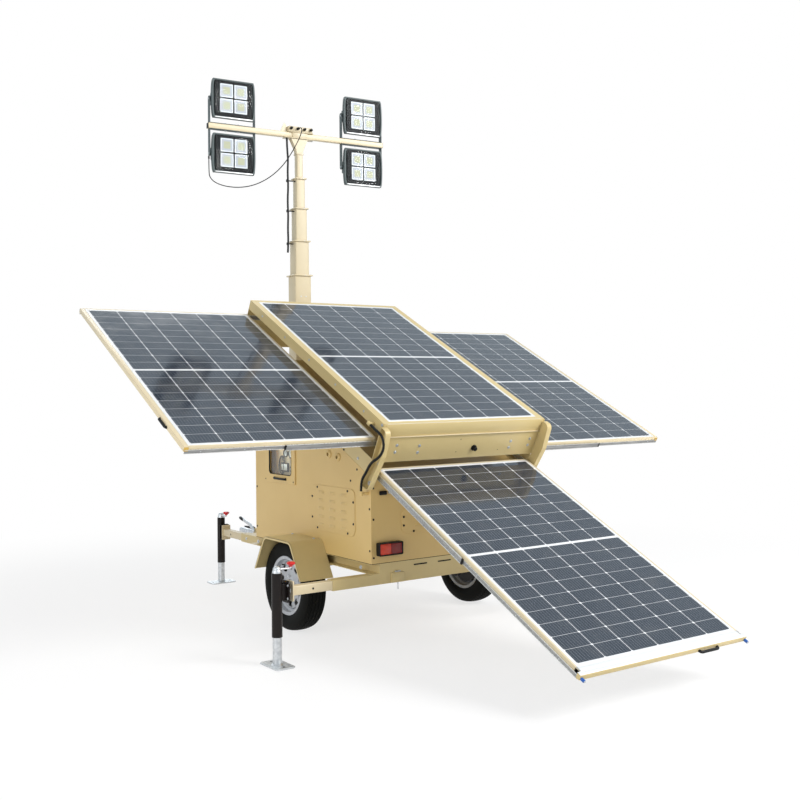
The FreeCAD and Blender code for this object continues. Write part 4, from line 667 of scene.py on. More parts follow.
def peg(spot: Point, axis: int, reach: float, radius: float, steps: int = 12, soft: float = 0.0008) -> Surface:
    """A round bar that stands on a spot and reaches along one axis, or back where the reach is negative."""
    return bar(spot, tuple(np.asarray(spot, float) + reach * np.eye(3)[axis]), radius, steps, soft)


def brick(centre: Point, size: Point, soft: float) -> Surface:
    """A block by its centre and size."""
    half = np.asarray(size) / 2
    return block(tuple(np.asarray(centre) - half), tuple(np.asarray(centre) + half), soft)


def bent_bar(points: Array | Sequence[Point], radius: Array | float, steps: int = 12) -> Surface:
    """A round bar along a path: circles square to the path, carried on with the least twist."""
    path = np.asarray(points, float)
    way = np.gradient(path, axis=0)
    way = way / np.linalg.norm(way, axis=1, keepdims=True)
    side = np.cross(way[0], (0.0, 0.0, 1.0) if abs(way[0][2]) < 0.9 else (1.0, 0.0, 0.0))
    sides = []
    for direction in way:
        side = side - direction * float(side @ direction)
        side = side / np.linalg.norm(side)
        sides.append(side)
    sides = np.array(sides)
    others = np.cross(way, sides)
    angle = np.linspace(0, 2 * math.pi, steps, endpoint=False)
    size = np.broadcast_to(np.asarray(radius, float), (len(path),))[:, None, None]
    ring = sides[:, None, :] * np.cos(angle)[None, :, None] + others[:, None, :] * np.sin(angle)[None, :, None]
    return loft(path[:, None, :] + ring * size)


def ball(centre: Point, radius: float, squash: Point = (1, 1, 1), steps: int = 16) -> Surface:
    """A closed ball: latitude rows, each a circle, with a small cap at each pole."""
    rise = np.linspace(-0.97, 0.97, steps // 2 + 1) * math.pi / 2
    angle = np.linspace(0, 2 * math.pi, steps, endpoint=False)
    points = np.stack(np.broadcast_arrays(np.cos(rise)[:, None] * np.cos(angle),
                                          np.cos(rise)[:, None] * np.sin(angle),
                                          np.sin(rise)[:, None] * np.ones(steps)), -1)
    return loft(points * radius * np.asarray(squash) + np.asarray(centre))


def bolt(spot: Point, way: Point, radius: float = 0.006, high: float = 0.004,
         washer: float = 1.6) -> list[Surface]:
    """A six-sided head on a round washer."""
    base, out = np.asarray(spot, float), np.asarray(way, float)
    flat = 0.0012
    return [bar(tuple(base), tuple(base + out * flat), radius * washer, 14, 0.0003),
            bar(tuple(base + out * flat), tuple(base + out * (flat + high)), radius, 6, 0.0005)]


class Piece:
    """One scene object: surfaces in one set of directions, gathered with a finish for each."""

    def __init__(self, name: str, place: Place | None = None) -> None:
        """Starts an empty piece whose surfaces are placed as they come."""
        self.name, self.place = name, place
        self.parts: list[tuple[Surface, Finish]] = []

    def add(self, finish: Finish, *surfaces: Surface) -> None:
        """Adds surfaces in one finish."""
        for surface in surfaces:
            self.parts.append((surface.moved(self.place) if self.place else surface, finish))

    def build(self, body: str, slot: str, stands_for: Sequence[str] = (),
              crease: float = 32.0) -> bpy.types.Object:
        """Makes the mesh object and hangs it on its body.

        Args:
            body: the CAD body that it moves with.
            slot: not used.
            stands_for: CAD nodes that it replaces.
            crease: edges sharper than this, in degrees, stay sharp.

        Returns:
            The object.
        """
        finishes = list(dict.fromkeys(finish for _, finish in self.parts))
        points, faces, marks, pairs = [], [], [], []
        count = 0
        for surface, finish in self.parts:
            points.append(surface.points)
            faces.extend([[k + count for k in face] for face in surface.faces])
            marks.extend([finishes.index(finish)] * len(surface.faces))
            pairs.append(surface.uv if surface.uv is not None else np.zeros((len(surface.points), 2)))
            count += len(surface.points)
        mesh = bpy.data.meshes.new(self.name)
        mesh.from_pydata(np.concatenate(points).tolist(), [], faces)
        mesh.polygons.foreach_set("material_index", np.array(marks, np.int32))
        if any(surface.uv is not None for surface, _ in self.parts):
            layer = mesh.uv_layers.new(name="sheet")
            index = np.zeros(len(mesh.loops), np.int32)
            mesh.loops.foreach_get("vertex_index", index)
            layer.data.foreach_set("uv", np.concatenate(pairs)[index].astype(np.float32).ravel())
        work = bmesh.new()
        work.from_mesh(mesh)
        bmesh.ops.recalc_face_normals(work, faces=work.faces)
        work.to_mesh(mesh)
        work.free()
        mesh.polygons.foreach_set("use_smooth", np.ones(len(mesh.polygons), bool))
        mesh.set_sharp_from_angle(angle=math.radians(crease))
        for finish in finishes:
            mesh.materials.append(finish.material())
        thing = bpy.data.objects.new(self.name, mesh)
        bpy.context.scene.collection.objects.link(thing)
        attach(thing, body)
        if stands_for:
            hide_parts(*stands_for)
        log.info("%s: %d faces on %s", self.name, len(mesh.polygons), body)
        return thing


def dress(node: str, finish: Finish) -> None:
    """Gives a kept CAD node a better finish."""
    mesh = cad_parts[node].data
    mesh.materials.clear()
    mesh.materials.append(finish.material())


def cord_line(name: str, points: Array, radius: float) -> bpy.types.Object:
    """A smooth NURBS line through a route's control points, as thick as the cord."""
    curve = bpy.data.curves.new(name, "CURVE")
    curve.dimensions = "3D"
    spline = curve.splines.new("NURBS")
    spline.points.add(len(points) - 1)
    spline.points.foreach_set("co", np.column_stack([points, np.ones(len(points))]).ravel())
    spline.order_u = 3
    spline.use_endpoint_u = True
    curve.resolution_u = 8
    curve.bevel_depth = radius
    curve.bevel_resolution = 3
    curve.use_fill_caps = True
    line = bpy.data.objects.new(name, curve)
    bpy.context.scene.collection.objects.link(line)
    return line


def read_line(points: Array) -> Array:
    """Points along the smooth line of a route, read from its NURBS spline."""
    bare = cord_line("route_reading", points, 0.0)
    bare.data.use_fill_caps = False
    mesh = bpy.data.meshes.new_from_object(bare)
    out = np.zeros(len(mesh.vertices) * 3)
    mesh.vertices.foreach_get("co", out)
    bpy.data.objects.remove(bare)
    bpy.data.meshes.remove(mesh)
    return out.reshape(-1, 3)


def line_length(points: Array) -> float:
    """Length along a row of points."""
    return float(np.linalg.norm(np.diff(points, axis=0), axis=1).sum())


# where things lie

TILT = math.radians(27.18)
MODULE_WIDE, MODULE_LONG, MODULE_THICK = 1.134, 1.722, 0.03
SIDE_TRAVEL, REAR_TRAVEL, LEVEL_STEP = 1.206, 1.7624, 0.0964
TRAY_END = -0.0462
AXLE_Y = 0.139
PIXELS = 800.0


@dataclass(frozen=True)
class Slope:
    """The tray's own directions: x across, u up the slope and n out of the glass."""

    tilt: float = TILT
    base_y: float = -0.681
    base_z: float = 1.314

    def __call__(self, points: Array) -> Array:
        """y is u times the cosine less n times the sine, and z is u times the sine plus n times the cosine."""
        x, u, n = points[..., 0], points[..., 1], points[..., 2]
        y = self.base_y + u * math.cos(self.tilt) - n * math.sin(self.tilt)
        z = self.base_z + u * math.sin(self.tilt) + n * math.cos(self.tilt)
        return np.stack([x, y, z], -1)


@dataclass(frozen=True)
class MastTurn:
    """The mast's own directions, turned a little about its axis."""

    yaw: float = math.radians(-5.5)
    y: float = 1.236

    def __call__(self, points: Array) -> Array:
        """x and y turn by the yaw about the mast's axis."""
        a, b = points[..., 0], points[..., 1]
        return np.stack([a * math.cos(self.yaw) - b * math.sin(self.yaw),
                         self.y + a * math.sin(self.yaw) + b * math.cos(self.yaw), points[..., 2]], -1)


SLOPE = Slope()
MAST = MastTurn()


class Side(Enum):
    """Left or right of the trailer."""

    LEFT = -1
    RIGHT = 1


@dataclass
class SolarModule:
    """A framed glass module: hollow aluminium frame, glass with cells, backsheet and junction boxes."""

    name: str
    body: str
    shift_x: float
    shift_u: float
    level: float
    lip: float = 0.018
    rim: float = 0.011
    sheet: float = 0.002
    rows: tuple[int, int] = (7, 19)

    def build(self) -> None:
        """Frame as a ring of L section, glass 1 mm below its lip, and what shows from below."""
        piece = Piece("module_" + self.name, SLOPE)
        low = np.array([self.shift_x - MODULE_WIDE / 2, self.shift_u - self.lip])
        high = low + (MODULE_WIDE, MODULE_LONG)
        wall, thick = self.sheet, MODULE_THICK
        rings = []
        for draw, deep in ((0.0012, 0.0), (0.0, 0.0012), (0.0, thick - 0.001), (0.001, thick), (0.028, thick),
                           (0.028, thick - wall), (wall, thick - wall), (wall, 0.006), (self.rim, 0.006),
                           (self.rim, 0.0)):
            loop = oblong(low + draw, high - draw, 0.0015, 2)
            rings.append(spread(loop[:, 0], loop[:, 1], np.array(self.level - deep), 2))
        piece.add(FRAME, loft(np.array(rings), caps=False, ring=True))
        s, t = np.meshgrid(*(np.linspace(0, 1, count) for count in self.rows), indexing="ij")
        draw = self.rim - self.sheet
        x, u = (low[k] + draw + (high[k] - low[k] - 2 * draw) * part for k, part in enumerate((s, t)))
        top = np.stack([x, u, np.full_like(x, self.level - 0.001)], -1).reshape(-1, 3)
        middle = (low + high) / 2
        faces = grid_faces(*self.rows, False, False)
        piece.add(CELLS, Surface(top, faces.tolist(), top[:, :2] - middle))
        piece.add(BACKSHEET, Surface(top - np.array([0, 0, 0.0045]), faces[:, ::-1].tolist()))
        for step in (-0.28, 0.0, 0.28):
            piece.add(PLASTIC, brick((middle[0] + step, middle[1], self.level - 0.0127), (0.06, 0.04, 0.0146),
                                     0.003))
        made = piece.build(self.body, "solar_glass", ["solar_module_" + self.name])
        self.check(made)

    def check(self, made: bpy.types.Object) -> None:
        """Turns the glass to face out of the slope, since an open sheet has no inside to tell it by."""
        mesh = made.data
        foot, up = SLOPE(np.array([[0, 0, 0.0], [0, 0, 1.0]]))
        work = bmesh.new()
        work.from_mesh(mesh)
        slots = list(mesh.materials)
        ways = {slots.index(CELLS.material()): 1, slots.index(BACKSHEET.material()): -1}
        wrong = [f for f in work.faces if np.dot(f.normal, up - foot) * ways.get(f.material_index, 0) < 0]
        bmesh.ops.reverse_faces(work, faces=wrong)
        work.to_mesh(mesh)
        work.free()


@dataclass
class TrayShell:
    """The fixed tray: rails and sheets from the CAD, with its end plate, arms and bolts."""

    half: float = 0.5987
    rim_x: float = 0.6133
    end_out: float = -0.0497
    end_in: float = TRAY_END
    end_low: float = 0.25
    arm_x: float = 0.6
    arm_thick: float = 0.036
    foot_u: float = -0.054
    foot_n: float = -0.385
    bolts: tuple[tuple[float, float], ...] = ((-0.485, 0.14), (-0.485, 0.185), (-0.32, 0.15), (-0.32, 0.195),
                                              (0.39, 0.15), (0.39, 0.195), (0.545, 0.14), (0.545, 0.185))

    def build(self) -> None:
        """All of the tray's pieces."""
        self.end_plate()
        self.arms()
        self.trim()

    def end_plate(self) -> None:
        """A folded sheet: rounded top edge, flat face, outward lip, and the lock's knob among its bolts."""
        piece = Piece("tray_end_sheet", SLOPE)
        face, back = self.end_out, self.end_in
        # the lip in the lit copy of the sand paint and the white strip along the top edge are painted highlights
        for finish, half, out, low, high, soft in ((SAND, self.rim_x, 0.0, -self.end_low, 0.0, 0.0014),
                                                   (SAND_LIT, 0.599, 0.01, -0.084, -0.08, 0.0012),
                                                   (FRAME, 0.59, -0.001, -0.001, 0.0005, 0.0003),
                                                   (SAND, 0.599, 0.0022, -0.08, -0.004, 0.001)):
            deep = back if out <= 0 else face
            piece.add(finish, block((-half, face - out, low), (half, deep, high), soft))
        for level in (0.1264, 0.2228):
            piece.add(RAIL, block((-self.half, back, -level - 0.022), (self.half, back + 0.005, -level + 0.022),
                                  0.001))
        for x, n in self.bolts:
            piece.add(ZINC, *bolt((x, face, -n), (0, -1, 0), 0.0065, 0.0035))
        piece.add(PLASTIC, peg((0.1, face, -0.182), 1, -0.01, 0.019, 28),
                  peg((0.1, face - 0.01, -0.182), 1, -0.016, 0.013, 24, 0.003))
        for x, n in ((-0.02, 0.12), (-0.03, 0.205), (0.3, 0.205)):
            piece.add(PLASTIC, peg((x, face, -n), 1, -0.002, 0.003, 10))
        piece.build("trailer", "sand_paint", ["tray_end_plate"])

    def arms(self) -> None:
        """Dog-leg channels: one outline for the web and its raised border as flanges."""
        piece = Piece("tray_arm_pair", SLOPE)
        end, foot, base = self.end_out, self.foot_u, self.foot_n
        outer = softened([(end, -0.014), (end, -self.end_low - 0.004), (foot + 0.034, base + 0.025),
                          (foot + 0.034, base - 0.026), (foot - 0.034, base - 0.026),
                          (foot - 0.042, base + 0.01), (end - 0.076, -0.172), (end - 0.06, -0.014)],
                         (0.01, 0.02, 0.01, 0.026, 0.026, 0.015, 0.03, 0.04), 8)
        inner = inset(outer, 0.004)
        lug = softened([(end - 0.004, -0.002), (end + 0.055, 0.0), (end + 0.055, -0.03), (end - 0.004, -0.05)],
                       0.006)
        for out in (-1, 1):
            start = min(out * self.arm_x, out * (self.arm_x + self.arm_thick))
            web = min(out * (self.arm_x + 0.0005), out * (self.arm_x + 0.0045))
            piece.add(SAND, framed(outer, inner, start, self.arm_thick, 0, 0.0012),
                      slab(inner, web, 0.004, 0, 0.0005))
            face = out * (self.arm_x + 0.0046)
            for u, n in ((foot, base + 0.002), (end - 0.03, -0.05), (end - 0.036, -0.235)):
                piece.add(ZINC, *bolt((face, u, n), (out, 0, 0), 0.01 if n < -0.3 else 0.0065, 0.006))
            piece.add(SAND, slab(lug, min(out * 0.6135, out * 0.6165), 0.003, 0))
            piece.add(ZINC, *bolt((out * 0.6165, end + 0.018, -0.014), (out, 0, 0), 0.006, 0.004))
        piece.build("trailer", "sand_paint", ["tray_arms"])

    def trim(self) -> None:
        """Bolts along the lower side sheets, on the top bars and at the upper end."""
        piece = Piece("tray_fixings", SLOPE)
        for out in (-1, 1):
            for u in (0.12, 0.46, 0.8, 1.14, 1.48):
                piece.add(ZINC, *bolt((out * self.half, u, -0.318), (out, 0, 0), 0.006, 0.004),
                          *bolt((out * self.rim_x, u + 0.05, -0.032), (out, 0, 0), 0.005, 0.003))
        for x in (-0.45, -0.15, 0.15, 0.45):
            piece.add(ZINC, *bolt((x, 1.7357, -0.2), (0, 1, 0), 0.006, 0.004))
        piece.build("trailer", "zinc")
        dress("tray_frame", SAND)


@dataclass
class Drawer:
    """A drawer's frame, handle, slides and stops round its module."""

    name: str
    body: str
    shift_x: float
    shift_u: float
    level: float
    out_x: int
    half: float = MODULE_WIDE / 2
    gap: float = 0.0003
    member: float = 0.011
    high: float = 0.045
    soft: float = 0.0012
    low_u: float = -0.018
    high_u: float = 1.704
    slide: float = 0.012
    pull_drop: float = 0.018
    grip: float = 0.0074

    @property
    def slide_n(self) -> float:
        """Height of the slides' middle."""
        return self.level - MODULE_THICK

    def rail(self, piece: Piece, low: Point, high: Point) -> None:
        """A slide member: two raised lips with a dark channel between them."""
        lip = 0.0035
        a, b = np.array(low), np.array(high)
        for bottom, top in ((b[2] - lip, b[2]), (a[2], a[2] + lip)):
            piece.add(BRIGHT, block((a[0], a[1], bottom), (b[0], b[1], top), self.soft))
        draw = np.array([0.0, 0.0, lip * 0.5])
        thin = 0 if np.argmax(b - a) == 1 else 1
        draw[thin] = (b - a)[thin] * 0.25
        piece.add(RAIL, block(a + draw, b - draw, 0.0008))


@dataclass
class SideDrawer(Drawer):
    """A drawer that comes out to one side."""

    front: float = 0.027
    front_high: float = 0.03

    def across(self, near: float, far: float) -> tuple[float, float]:
        """Two distances outwards from the module's middle as low and high x."""
        return tuple(sorted((self.shift_x + self.out_x * near, self.shift_x + self.out_x * far)))

    def build(self) -> None:
        """Members, cross bars, outer beam, handle, caps and both middle slides."""
        piece = Piece("drawer_frame_" + self.name, SLOPE)
        near_u, far_u = self.low_u - self.gap - self.member, self.high_u + self.gap + self.member
        inner, outer = -self.half - self.gap - self.member, self.half + self.gap + self.front
        face = outer - self.front
        top, low = self.level, self.level - self.high

        def bars(*spans: tuple[float, float, float, float, float, float]) -> None:
            """Members in the lit copy of the sand paint, painted light: each from near to far, between two
            distances up the slope and two heights.
            """
            for near, far, u0, u1, bottom, upper in spans:
                x = self.across(near, far)
                soft = 0.0025 if far == outer else self.soft
                piece.add(SAND_LIT, block((x[0], u0, bottom), (x[1], u1, upper), soft))

        bars((inner, face, near_u, self.low_u - self.gap, low, top),
             (inner, face, self.high_u + self.gap, far_u, low, top),
             (inner, -self.half - self.gap, near_u, far_u, low, top),
             (face, outer, near_u, far_u, top - self.front_high, top))
        for middle in (-0.3 * MODULE_WIDE, 0.3 * MODULE_WIDE):
            bars((middle - 0.015, middle + 0.015, near_u, far_u, low, self.slide_n))
        x = self.across(-0.59, 0.59)
        for a, b, way in ((near_u - 0.0053, near_u, -1), (far_u, far_u + 0.0053, 1)):
            self.rail(piece, (x[0], a, self.slide_n - self.slide), (x[1], b, self.slide_n + self.slide))
            for step in (-0.5, -0.25, 0.0, 0.25, 0.5):
                piece.add(ZINC, peg((self.shift_x + step, a if way < 0 else b, self.slide_n), 1, way * 0.0002,
                                    0.004, 10))
        self.handle(piece, outer)
        cap = self.across(outer - 0.026, outer - 0.001)
        for finish, u in ((BRASS, near_u - 0.004), (PLASTIC, far_u)):
            piece.add(finish, block((cap[0], u, top - 0.028), (cap[1], u + 0.004, top - 0.005), 0.0015))
        piece.build(self.body, "frame_paint", ["drawer_" + self.name])
        self.middle_slides(near_u, far_u)

    def handle(self, piece: Piece, outer: float) -> None:
        """A bent round grip: two short legs and a bar, one smooth path."""
        u, n = 0.25, self.level - self.pull_drop
        reach, leg, curve = 0.0085, 0.047, 0.009
        turn = np.linspace(0, math.pi / 2, 7)
        first = np.stack([reach - curve + curve * np.sin(turn), -leg + curve * (1 - np.cos(turn))], -1)
        path = np.concatenate([[(0.0, -leg)], first, first[::-1] * (1, -1), [(0.0, leg)]])
        x = self.shift_x + self.out_x * (outer + path[:, 0])
        line = np.stack([x, u + path[:, 1], np.full(len(x), n)], -1)
        piece.add(PLASTIC, bent_bar(line, self.grip, 12))
        for step in (-leg, leg):
            spot = (self.shift_x + self.out_x * outer, u + step, n)
            piece.add(PLASTIC, peg(spot, 0, self.out_x * 0.003, 0.009, 14))

    def middle_slides(self, near_u: float, far_u: float) -> None:
        """The two middle members, each with a black stop at both ends."""
        piece = Piece("slide_pair_" + self.name, SLOPE)
        middle, n = self.out_x * SIDE_TRAVEL / 2, self.slide_n
        for a, b in ((near_u - 0.0116, near_u - 0.0056), (far_u + 0.0056, far_u + 0.0116)):
            self.rail(piece, (middle - 0.611, a, n - 0.017), (middle + 0.611, b, n + 0.017))
            for end in (-0.615, 0.607):
                piece.add(PLASTIC, block((middle + end, a, n - 0.015), (middle + end + 0.008, b, n + 0.015),
                                         0.001))
        piece.build("slides_" + self.name, "slide_steel", ["drawer_slides_" + self.name])


@dataclass
class RearDrawer(Drawer):
    """The drawer that comes down the slope."""

    wide_bar: float = 0.056

    def build(self) -> None:
        """Members, outer bar with its handle, white strips of painted highlight along its top, blue plungers,
        and both middle slides.
        """
        piece = Piece("drawer_frame_rear", SLOPE)
        edge = self.half + self.gap + self.member
        out_u = self.shift_u + self.low_u - self.gap - self.wide_bar
        in_u = self.shift_u + self.high_u + self.gap + self.member
        top, low, n = self.level, self.level - self.high, self.slide_n
        wide, under = 0.5947, self.level - self.pull_drop
        piece.add(SAND, block((-wide, out_u, top - 0.028), (wide, out_u + 0.024, top), 0.003))
        # white strip on the outer bar's top and the white wide bar behind it: painted highlight
        piece.add(FRAME, block((-wide, out_u + 0.002, top - 0.001), (wide, out_u + 0.024, top + 0.0002), 0.0002),
                  block((-edge, out_u + 0.0235, top - 0.028), (edge, out_u + self.wide_bar, top), 0.0015))
        # inner members in the lit copy of the sand paint: painted light
        piece.add(SAND_LIT, block((-edge, in_u - self.member, low), (edge, in_u, top), self.soft))
        for part in (0.2, 0.5, 0.8):
            u = self.shift_u + MODULE_LONG * part
            piece.add(SAND_LIT, block((-edge, u - 0.015, low), (edge, u + 0.015, n), self.soft))
        for s in (-1, 1):
            a, b = sorted((s * (self.half + self.gap), s * edge))
            piece.add(SAND_LIT, block((a, out_u + 0.024, low), (b, in_u, top), self.soft))
            a, b = sorted((s * edge, s * (edge + 0.0053)))
            self.rail(piece, (a, out_u + 0.026, n - self.slide), (b, in_u, n + self.slide))
            spot = s * (edge + 0.006)
            piece.add(BLUE, peg((spot, out_u, under), 1, -0.02, 0.008, 18))
            piece.add(ZINC, peg((spot, out_u - 0.02, under), 1, -0.005, 0.0045, 12))
            for u in np.arange(out_u + 0.15, in_u, 0.32):
                piece.add(ZINC, peg((s * (edge + 0.0051), u, n), 0, s * 0.0003, 0.004, 10))
        turn = np.linspace(0, math.pi / 2, 7)
        x = np.concatenate([[-0.068], -0.068 + 0.014 * (1 - np.cos(turn))])
        y = np.concatenate([[0.0], -0.0035 - 0.0105 * np.sin(turn)])
        x, y = np.concatenate([x, -x[::-1]]), np.concatenate([y, y[::-1]])
        line = np.stack([0.295 + x, out_u + y, np.full(len(x), under)], -1)
        piece.add(PLASTIC, bent_bar(line, self.grip, 12))
        piece.build(self.body, "frame_paint", ["drawer_rear"])
        slides = Piece("slide_pair_rear", SLOPE)
        low_u = TRAY_END - REAR_TRAVEL / 2
        for s in (-1, 1):
            a, b = sorted((s * (edge + 0.0056), s * (edge + 0.0116)))
            self.rail(slides, (a, low_u + 0.012, n - 0.017), (b, low_u + 1.77, n + 0.017))
            slides.add(PLASTIC, block((a, low_u, n - 0.016), (b, low_u + 0.012, n + 0.016), 0.001))
        slides.build("slides_rear", "slide_steel", ["drawer_slides_rear"])


@dataclass
class Mast:
    """Base tube, four moving sections with collars, and the head's gusset, box and glands."""

    top: float = 2.343
    wide: float = 0.13
    wall: float = 0.0035
    collar_out: float = 0.012
    cap_out: float = 0.005
    collar: float = 0.01
    step: float = 0.01
    way_in: float = 0.0097
    shows: tuple[float, ...] = (0.258, 0.246, 0.227, 0.186)

    def collar_ring(self, piece: Piece, half: float, hole: float, top: float) -> None:
        """A square flange with rounded corners, a square way through and set screws."""
        out = half + self.collar_out
        outer = oblong((-out, -out), (out, out), 0.01, 4)
        inner = oblong((-hole, -hole), (hole, hole), 0.003, 4)
        piece.add(MAST_SAND_LIT, framed(outer, inner, top - self.collar, self.collar, 2, 0.0015))
        level = top - self.collar / 2
        for x, y, axis, way in ((-out, 0.012, 0, -1), (0.012, -out, 1, -1), (out, -0.012, 0, 1),
                                (-0.012, out, 1, 1)):
            piece.add(ZINC, peg((x, y, level), axis, way * 0.004, 0.0032, 8))

    def build(self) -> None:
        """The base on the trailer and each moving section on its own body."""
        half, top = self.wide / 2, self.top
        # the mast's parts take the lit copy of the sand paint: painted light
        base = Piece("mast_base_section", MAST)
        base.add(MAST_SAND_LIT, square_tube((-half, -half, 0.449), (half, half, top - self.collar), self.wall, 2,
                                        0.009))
        foot = ((0.4375, 0.06), (0.4375, 0.1085), (0.439, 0.11), (0.448, 0.11), (0.4493, 0.1085),
                (0.4493, 0.06))
        ring = ((1.6, 0.086), (1.6, 0.0935), (1.6015, 0.095), (1.6385, 0.095), (1.64, 0.0935), (1.64, 0.086))
        base.add(MAST_SAND_LIT, lathe(foot, (0, 0, 0), 2, 64))
        for a in np.radians(45 * np.arange(8) + 22.5):
            base.add(ZINC, *bolt((0.092 * math.cos(a), 0.092 * math.sin(a), 0.4493), (0, 0, 1), 0.006, 0.005))
        base.add(MAST_SAND_LIT, lathe(ring, (0, 0, 0), 2, 64))
        for x, y in ((-0.079, 0), (0.079, 0), (0, -0.079), (0, 0.079)):
            base.add(MAST_SAND_LIT, brick((x, y, 1.62), (0.028, 0.028, 0.032), 0.002))
        self.collar_ring(base, half, half - self.way_in, top)
        base.add(ZINC, *(peg((x, -half - 0.004, 2.18), 1, 0.004, 0.005, 8) for x in (-0.02, 0.02)))
        base.build("mast_base", "sand_paint", ["mast_base"])
        dress("mast_bracket", SAND)
        for k, show in enumerate(self.shows, start=1):
            half -= self.step
            top += show
            low = 0.62 + 0.17 * (k - 1)
            piece = Piece("mast_section_%d" % k, MAST)
            piece.add(MAST_SAND_LIT, square_tube((-half, -half, low), (half, half, top - self.collar), self.wall, 2,
                                             0.008))
            pad, hole = half + self.step - self.wall - 0.0003, half - 0.001
            piece.add(PLASTIC, framed(oblong((-pad, -pad), (pad, pad), 0.006, 4),
                                      oblong((-hole, -hole), (hole, hole), 0.006, 4), low, 0.06, 2))
            if k < len(self.shows):
                self.collar_ring(piece, half, half - self.way_in, top)
                piece.add(PLASTIC, block((-0.104, -0.016, top - 0.03), (-half, -0.006, top - 0.022), 0.0015),
                          block((-0.107, -0.021, top - 0.036), (-0.103, -0.001, top - 0.016), 0.0015))
            else:
                out = half + self.cap_out
                cap = oblong((-out, -out), (out, out), 0.006, 4)
                piece.add(MAST_SAND_LIT, slab(cap, top - self.collar, self.collar, 2, 0.001))
                for x, y in ((-0.02856, 0), (0.02856, 0), (0, -0.02856), (0, 0.02856)):
                    piece.add(ZINC, *bolt((x, y, top - self.collar), (0, 0, -1), 0.002, 0.003))
            body = "mast_stage_%d" % k if k < len(self.shows) else "mast_head"
            piece.build(body, "sand_paint", ["mast_stage_%d" % k])
        self.head(top)

    def head(self, top: float) -> None:
        """Gusset plates and webs widen from the cap to a saddle; box, glands and ear sit on the bar."""
        piece = Piece("mast_head_top", MAST)
        low_z = top + 0.116
        high_z = low_z + 0.04
        seat, lid = low_z - 0.006, high_z + 0.044
        gusset = softened([(-0.026, top), (0.026, top), (0.03, top + 0.03), (0.07, seat), (-0.07, seat),
                           (-0.03, top + 0.03)], (0, 0, 0.02, 0, 0, 0.02), 4)
        piece.add(MAST_SAND_LIT, *(slab(gusset, y, 0.005, 1, 0.001) for y in (-0.022, 0.017)))
        for s in (-1, 1):
            web = np.array([[s * x, y, z] for x, y, z in (
                (0.0235, -0.018, top), (0.0235, 0.018, top), (0.064, 0.018, seat), (0.064, -0.018, seat))])
            piece.add(MAST_SAND_LIT, loft(np.array([web - (s * 0.004, 0, 0), web])))
        piece.add(MAST_SAND_LIT, block((-0.12, -0.032, seat), (0.12, 0.032, low_z), 0.0015))
        for y in (-0.026, 0.0203):
            piece.add(MAST_SAND_LIT, block((-0.06, y, seat), (0.06, y + 0.0057, high_z + 0.01), 0.001))
        piece.add(MAST_SAND_LIT, block((-0.1, -0.034, high_z), (0.11, 0.034, high_z + 0.006), 0.002),
                  block((-0.094, -0.03, high_z + 0.006), (0.104, 0.03, lid), 0.004))
        ear = softened([(-0.15, high_z), (-0.094, high_z), (-0.094, high_z + 0.04), (-0.118, high_z + 0.072)],
                       (0.004, 0, 0.004, 0.004), 3)
        piece.add(MAST_SAND_LIT, slab(ear, -0.0025, 0.005, 1))
        for side, lift, places in ((-1, 0.026, (-0.075, -0.02, 0.035, 0.088)), (1, 0.022, (-0.06, 0.01, 0.08))):
            for x in places:
                for y, reach, radius, steps, soft in ((0.03, 0.01, 0.011, 6, 0.0008),
                                                      (0.04, 0.012, 0.0095, 18, 0.002),
                                                      (0.052, 0.006, 0.006, 14, 0.002)):
                    piece.add(PLASTIC, peg((x, side * y, high_z + lift), 1, side * reach, radius, steps, soft))
        for x in (-0.085, 0.095):
            piece.add(ZINC, *(peg((x, y, lid), 2, 0.0015, 0.004, 10) for y in (-0.022, 0.022)))
        for x in (-0.11, 0.11):
            piece.add(ZINC, *bolt((x, 0.0, seat), (0, 0, -1), 0.006, 0.005))
        piece.build("mast_head", "sand_paint", ["mast_head"])
        self.crossbar(low_z, high_z)

    def crossbar(self, low_z: float, high_z: float) -> None:
        """A square tube with black end plugs and the brackets' bolts."""
        piece = Piece("crossbar_tube", MAST)
        # the crossbar in the lit copy of the sand paint: painted light
        piece.add(SAND_LIT, square_tube((-0.721, -0.02, low_z), (0.721, 0.02, high_z), 0.003, 0, 0.005))
        for s in (-1, 1):
            a, b = sorted((s * 0.716, s * 0.723))
            piece.add(PLASTIC, block((a, -0.0195, low_z + 0.0005), (b, 0.0195, high_z - 0.0005), 0.002))
        piece.build("mast_head", "sand_paint", ["crossbar"])


